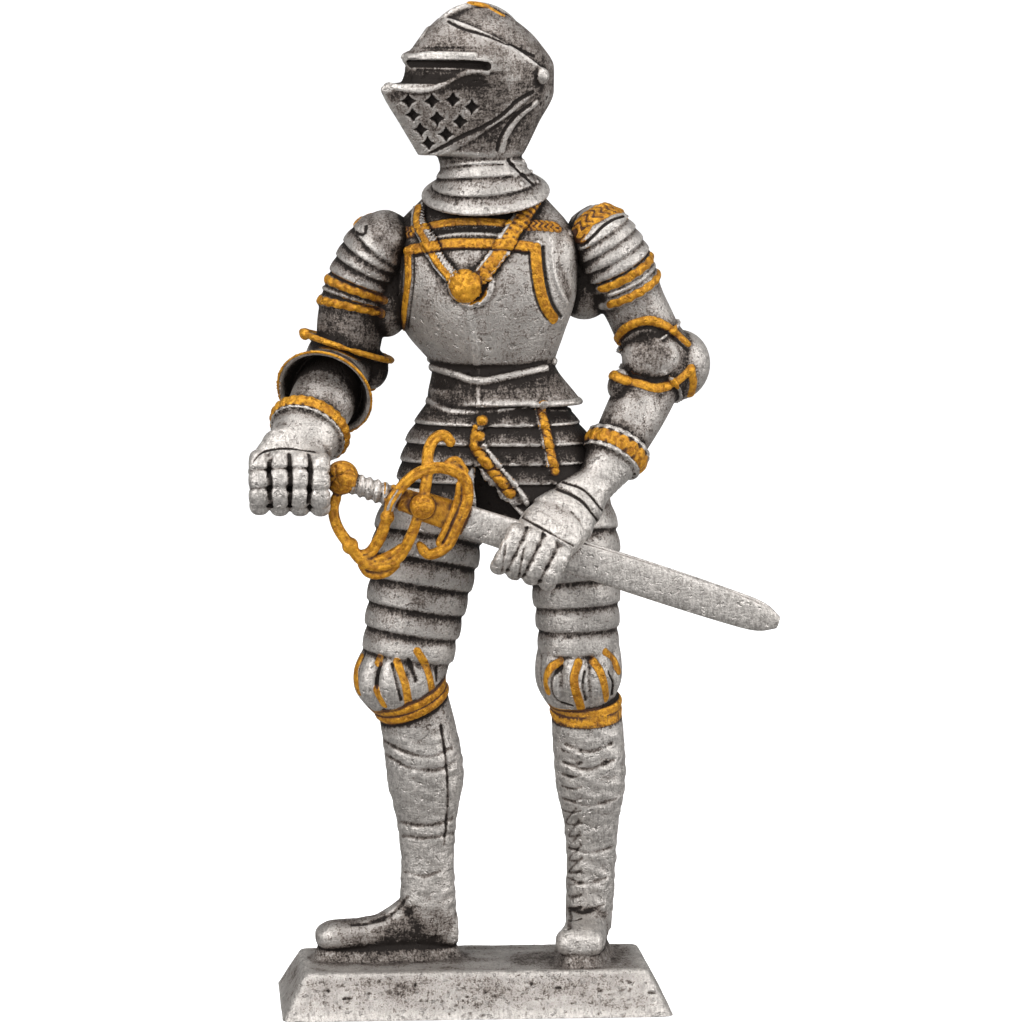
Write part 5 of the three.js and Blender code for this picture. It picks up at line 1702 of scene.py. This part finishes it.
finish = pewter_with_gold()
for name, (points, faces, trims, stars) in parts.items():
    normals = normals_of(points, faces)
    fine, soft = hollowness(points, faces, normals)
    _, gilt, dark, wash = surveyed(trims, points, normals)
    # The star holes are near black: patina, and painted shade in the holes
    if stars:
        dark = np.maximum(dark, starred(stars, points, normals))
    close = sampled(near_fill, low, CELL, points) - 0.5
    wide = sampled(far_fill, low, CELL, points) - 0.5
    # Dark patina and painted shade gather in what is hollow, near metal on many sides, or washed by a trim
    recess_patina_and_shade = 0.12 + 0.26 * fine + 0.3 * soft + 1.7 * close + 1.5 * np.maximum(wide, -0.1) + wash
    recess_patina_and_shade, tarnish_and_shade = patina_and_painted_shade(name, points, gilt, fine, recess_patina_and_shade)
    mesh = mesh_of((points + UP * PLINTH_HEIGHT) * MM, faces, name)
    for label, values in [("recess_patina_and_shade", recess_patina_and_shade), ("gilt", gilt), ("dark", dark), ("tarnish_and_shade", tarnish_and_shade)]:
        mesh.attributes.new(label, "FLOAT", "POINT").data.foreach_set("value", values.astype(np.float32))
    mesh.shade_smooth()
    mesh.materials.append(finish)
    piece = bpy.data.objects.new(name, mesh)
    bpy.context.scene.collection.objects.link(piece)
    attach(piece, "root")
    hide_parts(NODE)


# The floor, the light and the camera


def plain_material(name, colour, rough):
    """One colour and one roughness all over."""
    n = Nodes(name)
    n.surface.inputs["Base Color"].default_value = (*colour, 1)
    n.surface.inputs["Roughness"].default_value = rough
    return n.material


def floor_piece():
    """A pale floor that curves up in a quarter circle into a backdrop, in metres."""
    reach, front, wall, top, radius, gap = 1.8, -6.0, 1.2, 1.6, 0.3, 0.00002
    bend = np.radians(np.linspace(-90, 0, 16))
    depth = np.concatenate([[front], wall - radius + radius * np.cos(bend), [wall]])
    height = np.concatenate([[0], radius + radius * np.sin(bend), [top]])
    grid = [(x, y, z - gap) for x in (-reach, reach) for y, z in zip(depth, height)]
    count = len(depth)
    faces = [(i, i + 1, count + i + 1, count + i) for i in range(count - 1)]
    mesh = mesh_of(grid, [face[::-1] for face in faces], "pale_floor")
    mesh.shade_smooth()
    paper = plain_material("lit_white_paper", (0.8, 0.8, 0.8), 0.9)
    shader = paper.node_tree.nodes["Principled BSDF"]
    shader.inputs["Emission Color"].default_value = (1, 1, 1, 1)
    shader.inputs["Emission Strength"].default_value = PAPER_GLOW
    mesh.materials.append(paper)
    piece = bpy.data.objects.new("pale_floor", mesh)
    piece.visible_glossy = False
    bpy.context.scene.collection.objects.link(piece)


def lamp(name, place, aim, size, power):
    """A rectangular soft light at a place, turned to a point, both in metres."""
    data = bpy.data.lights.new(name, "AREA")
    data.shape = "RECTANGLE"
    data.size, data.size_y = size
    data.energy = power
    light = bpy.data.objects.new(name, data)
    bpy.context.scene.collection.objects.link(light)
    light.location = place
    light.rotation_euler = (Vector(aim) - Vector(place)).to_track_quat("-Z", "Y").to_euler()


floor_piece()
LAMPS = {
    "softbox_left": ((-0.45, -0.40, 0.34), (0.30, 0.40), 3.8),
    "softbox_right": ((0.50, -0.20, 0.22), (0.20, 0.40), 2.4),
    "softbox_over": ((0.0, -0.05, 0.60), (0.4, 0.3), 2.4),
    "softbox_front": ((-0.05, -0.75, 0.20), (0.25, 0.25), 1.0),
}
for name, (place, size, power) in LAMPS.items():
    lamp(name, place, (0.003, 0, 0.052), size, power)

world = bpy.data.worlds.new("studio")
world.use_nodes = True
world.node_tree.nodes["Background"].inputs["Color"].default_value = (1, 1, 1, 1)
world.node_tree.nodes["Background"].inputs["Strength"].default_value = ROOM_LIGHT
bpy.context.scene.world = world
bpy.context.scene.view_settings.view_transform = "Standard"

camera_data = bpy.data.cameras.new("camera")
camera_data.sensor_width = SENSOR
camera_data.lens = SENSOR * CAMERA_AWAY * PIXELS_PER_MM / PIXELS
camera_data.clip_start = 0.01
camera = bpy.data.objects.new("camera", camera_data)
bpy.context.scene.collection.objects.link(camera)
camera.location = (vec(*CAMERA_TARGET) + CAMERA_AWAY * view_back) * MM
camera.rotation_euler = Vector(view_back).to_track_quat("Z", "Y").to_euler()
bpy.context.scene.camera = camera
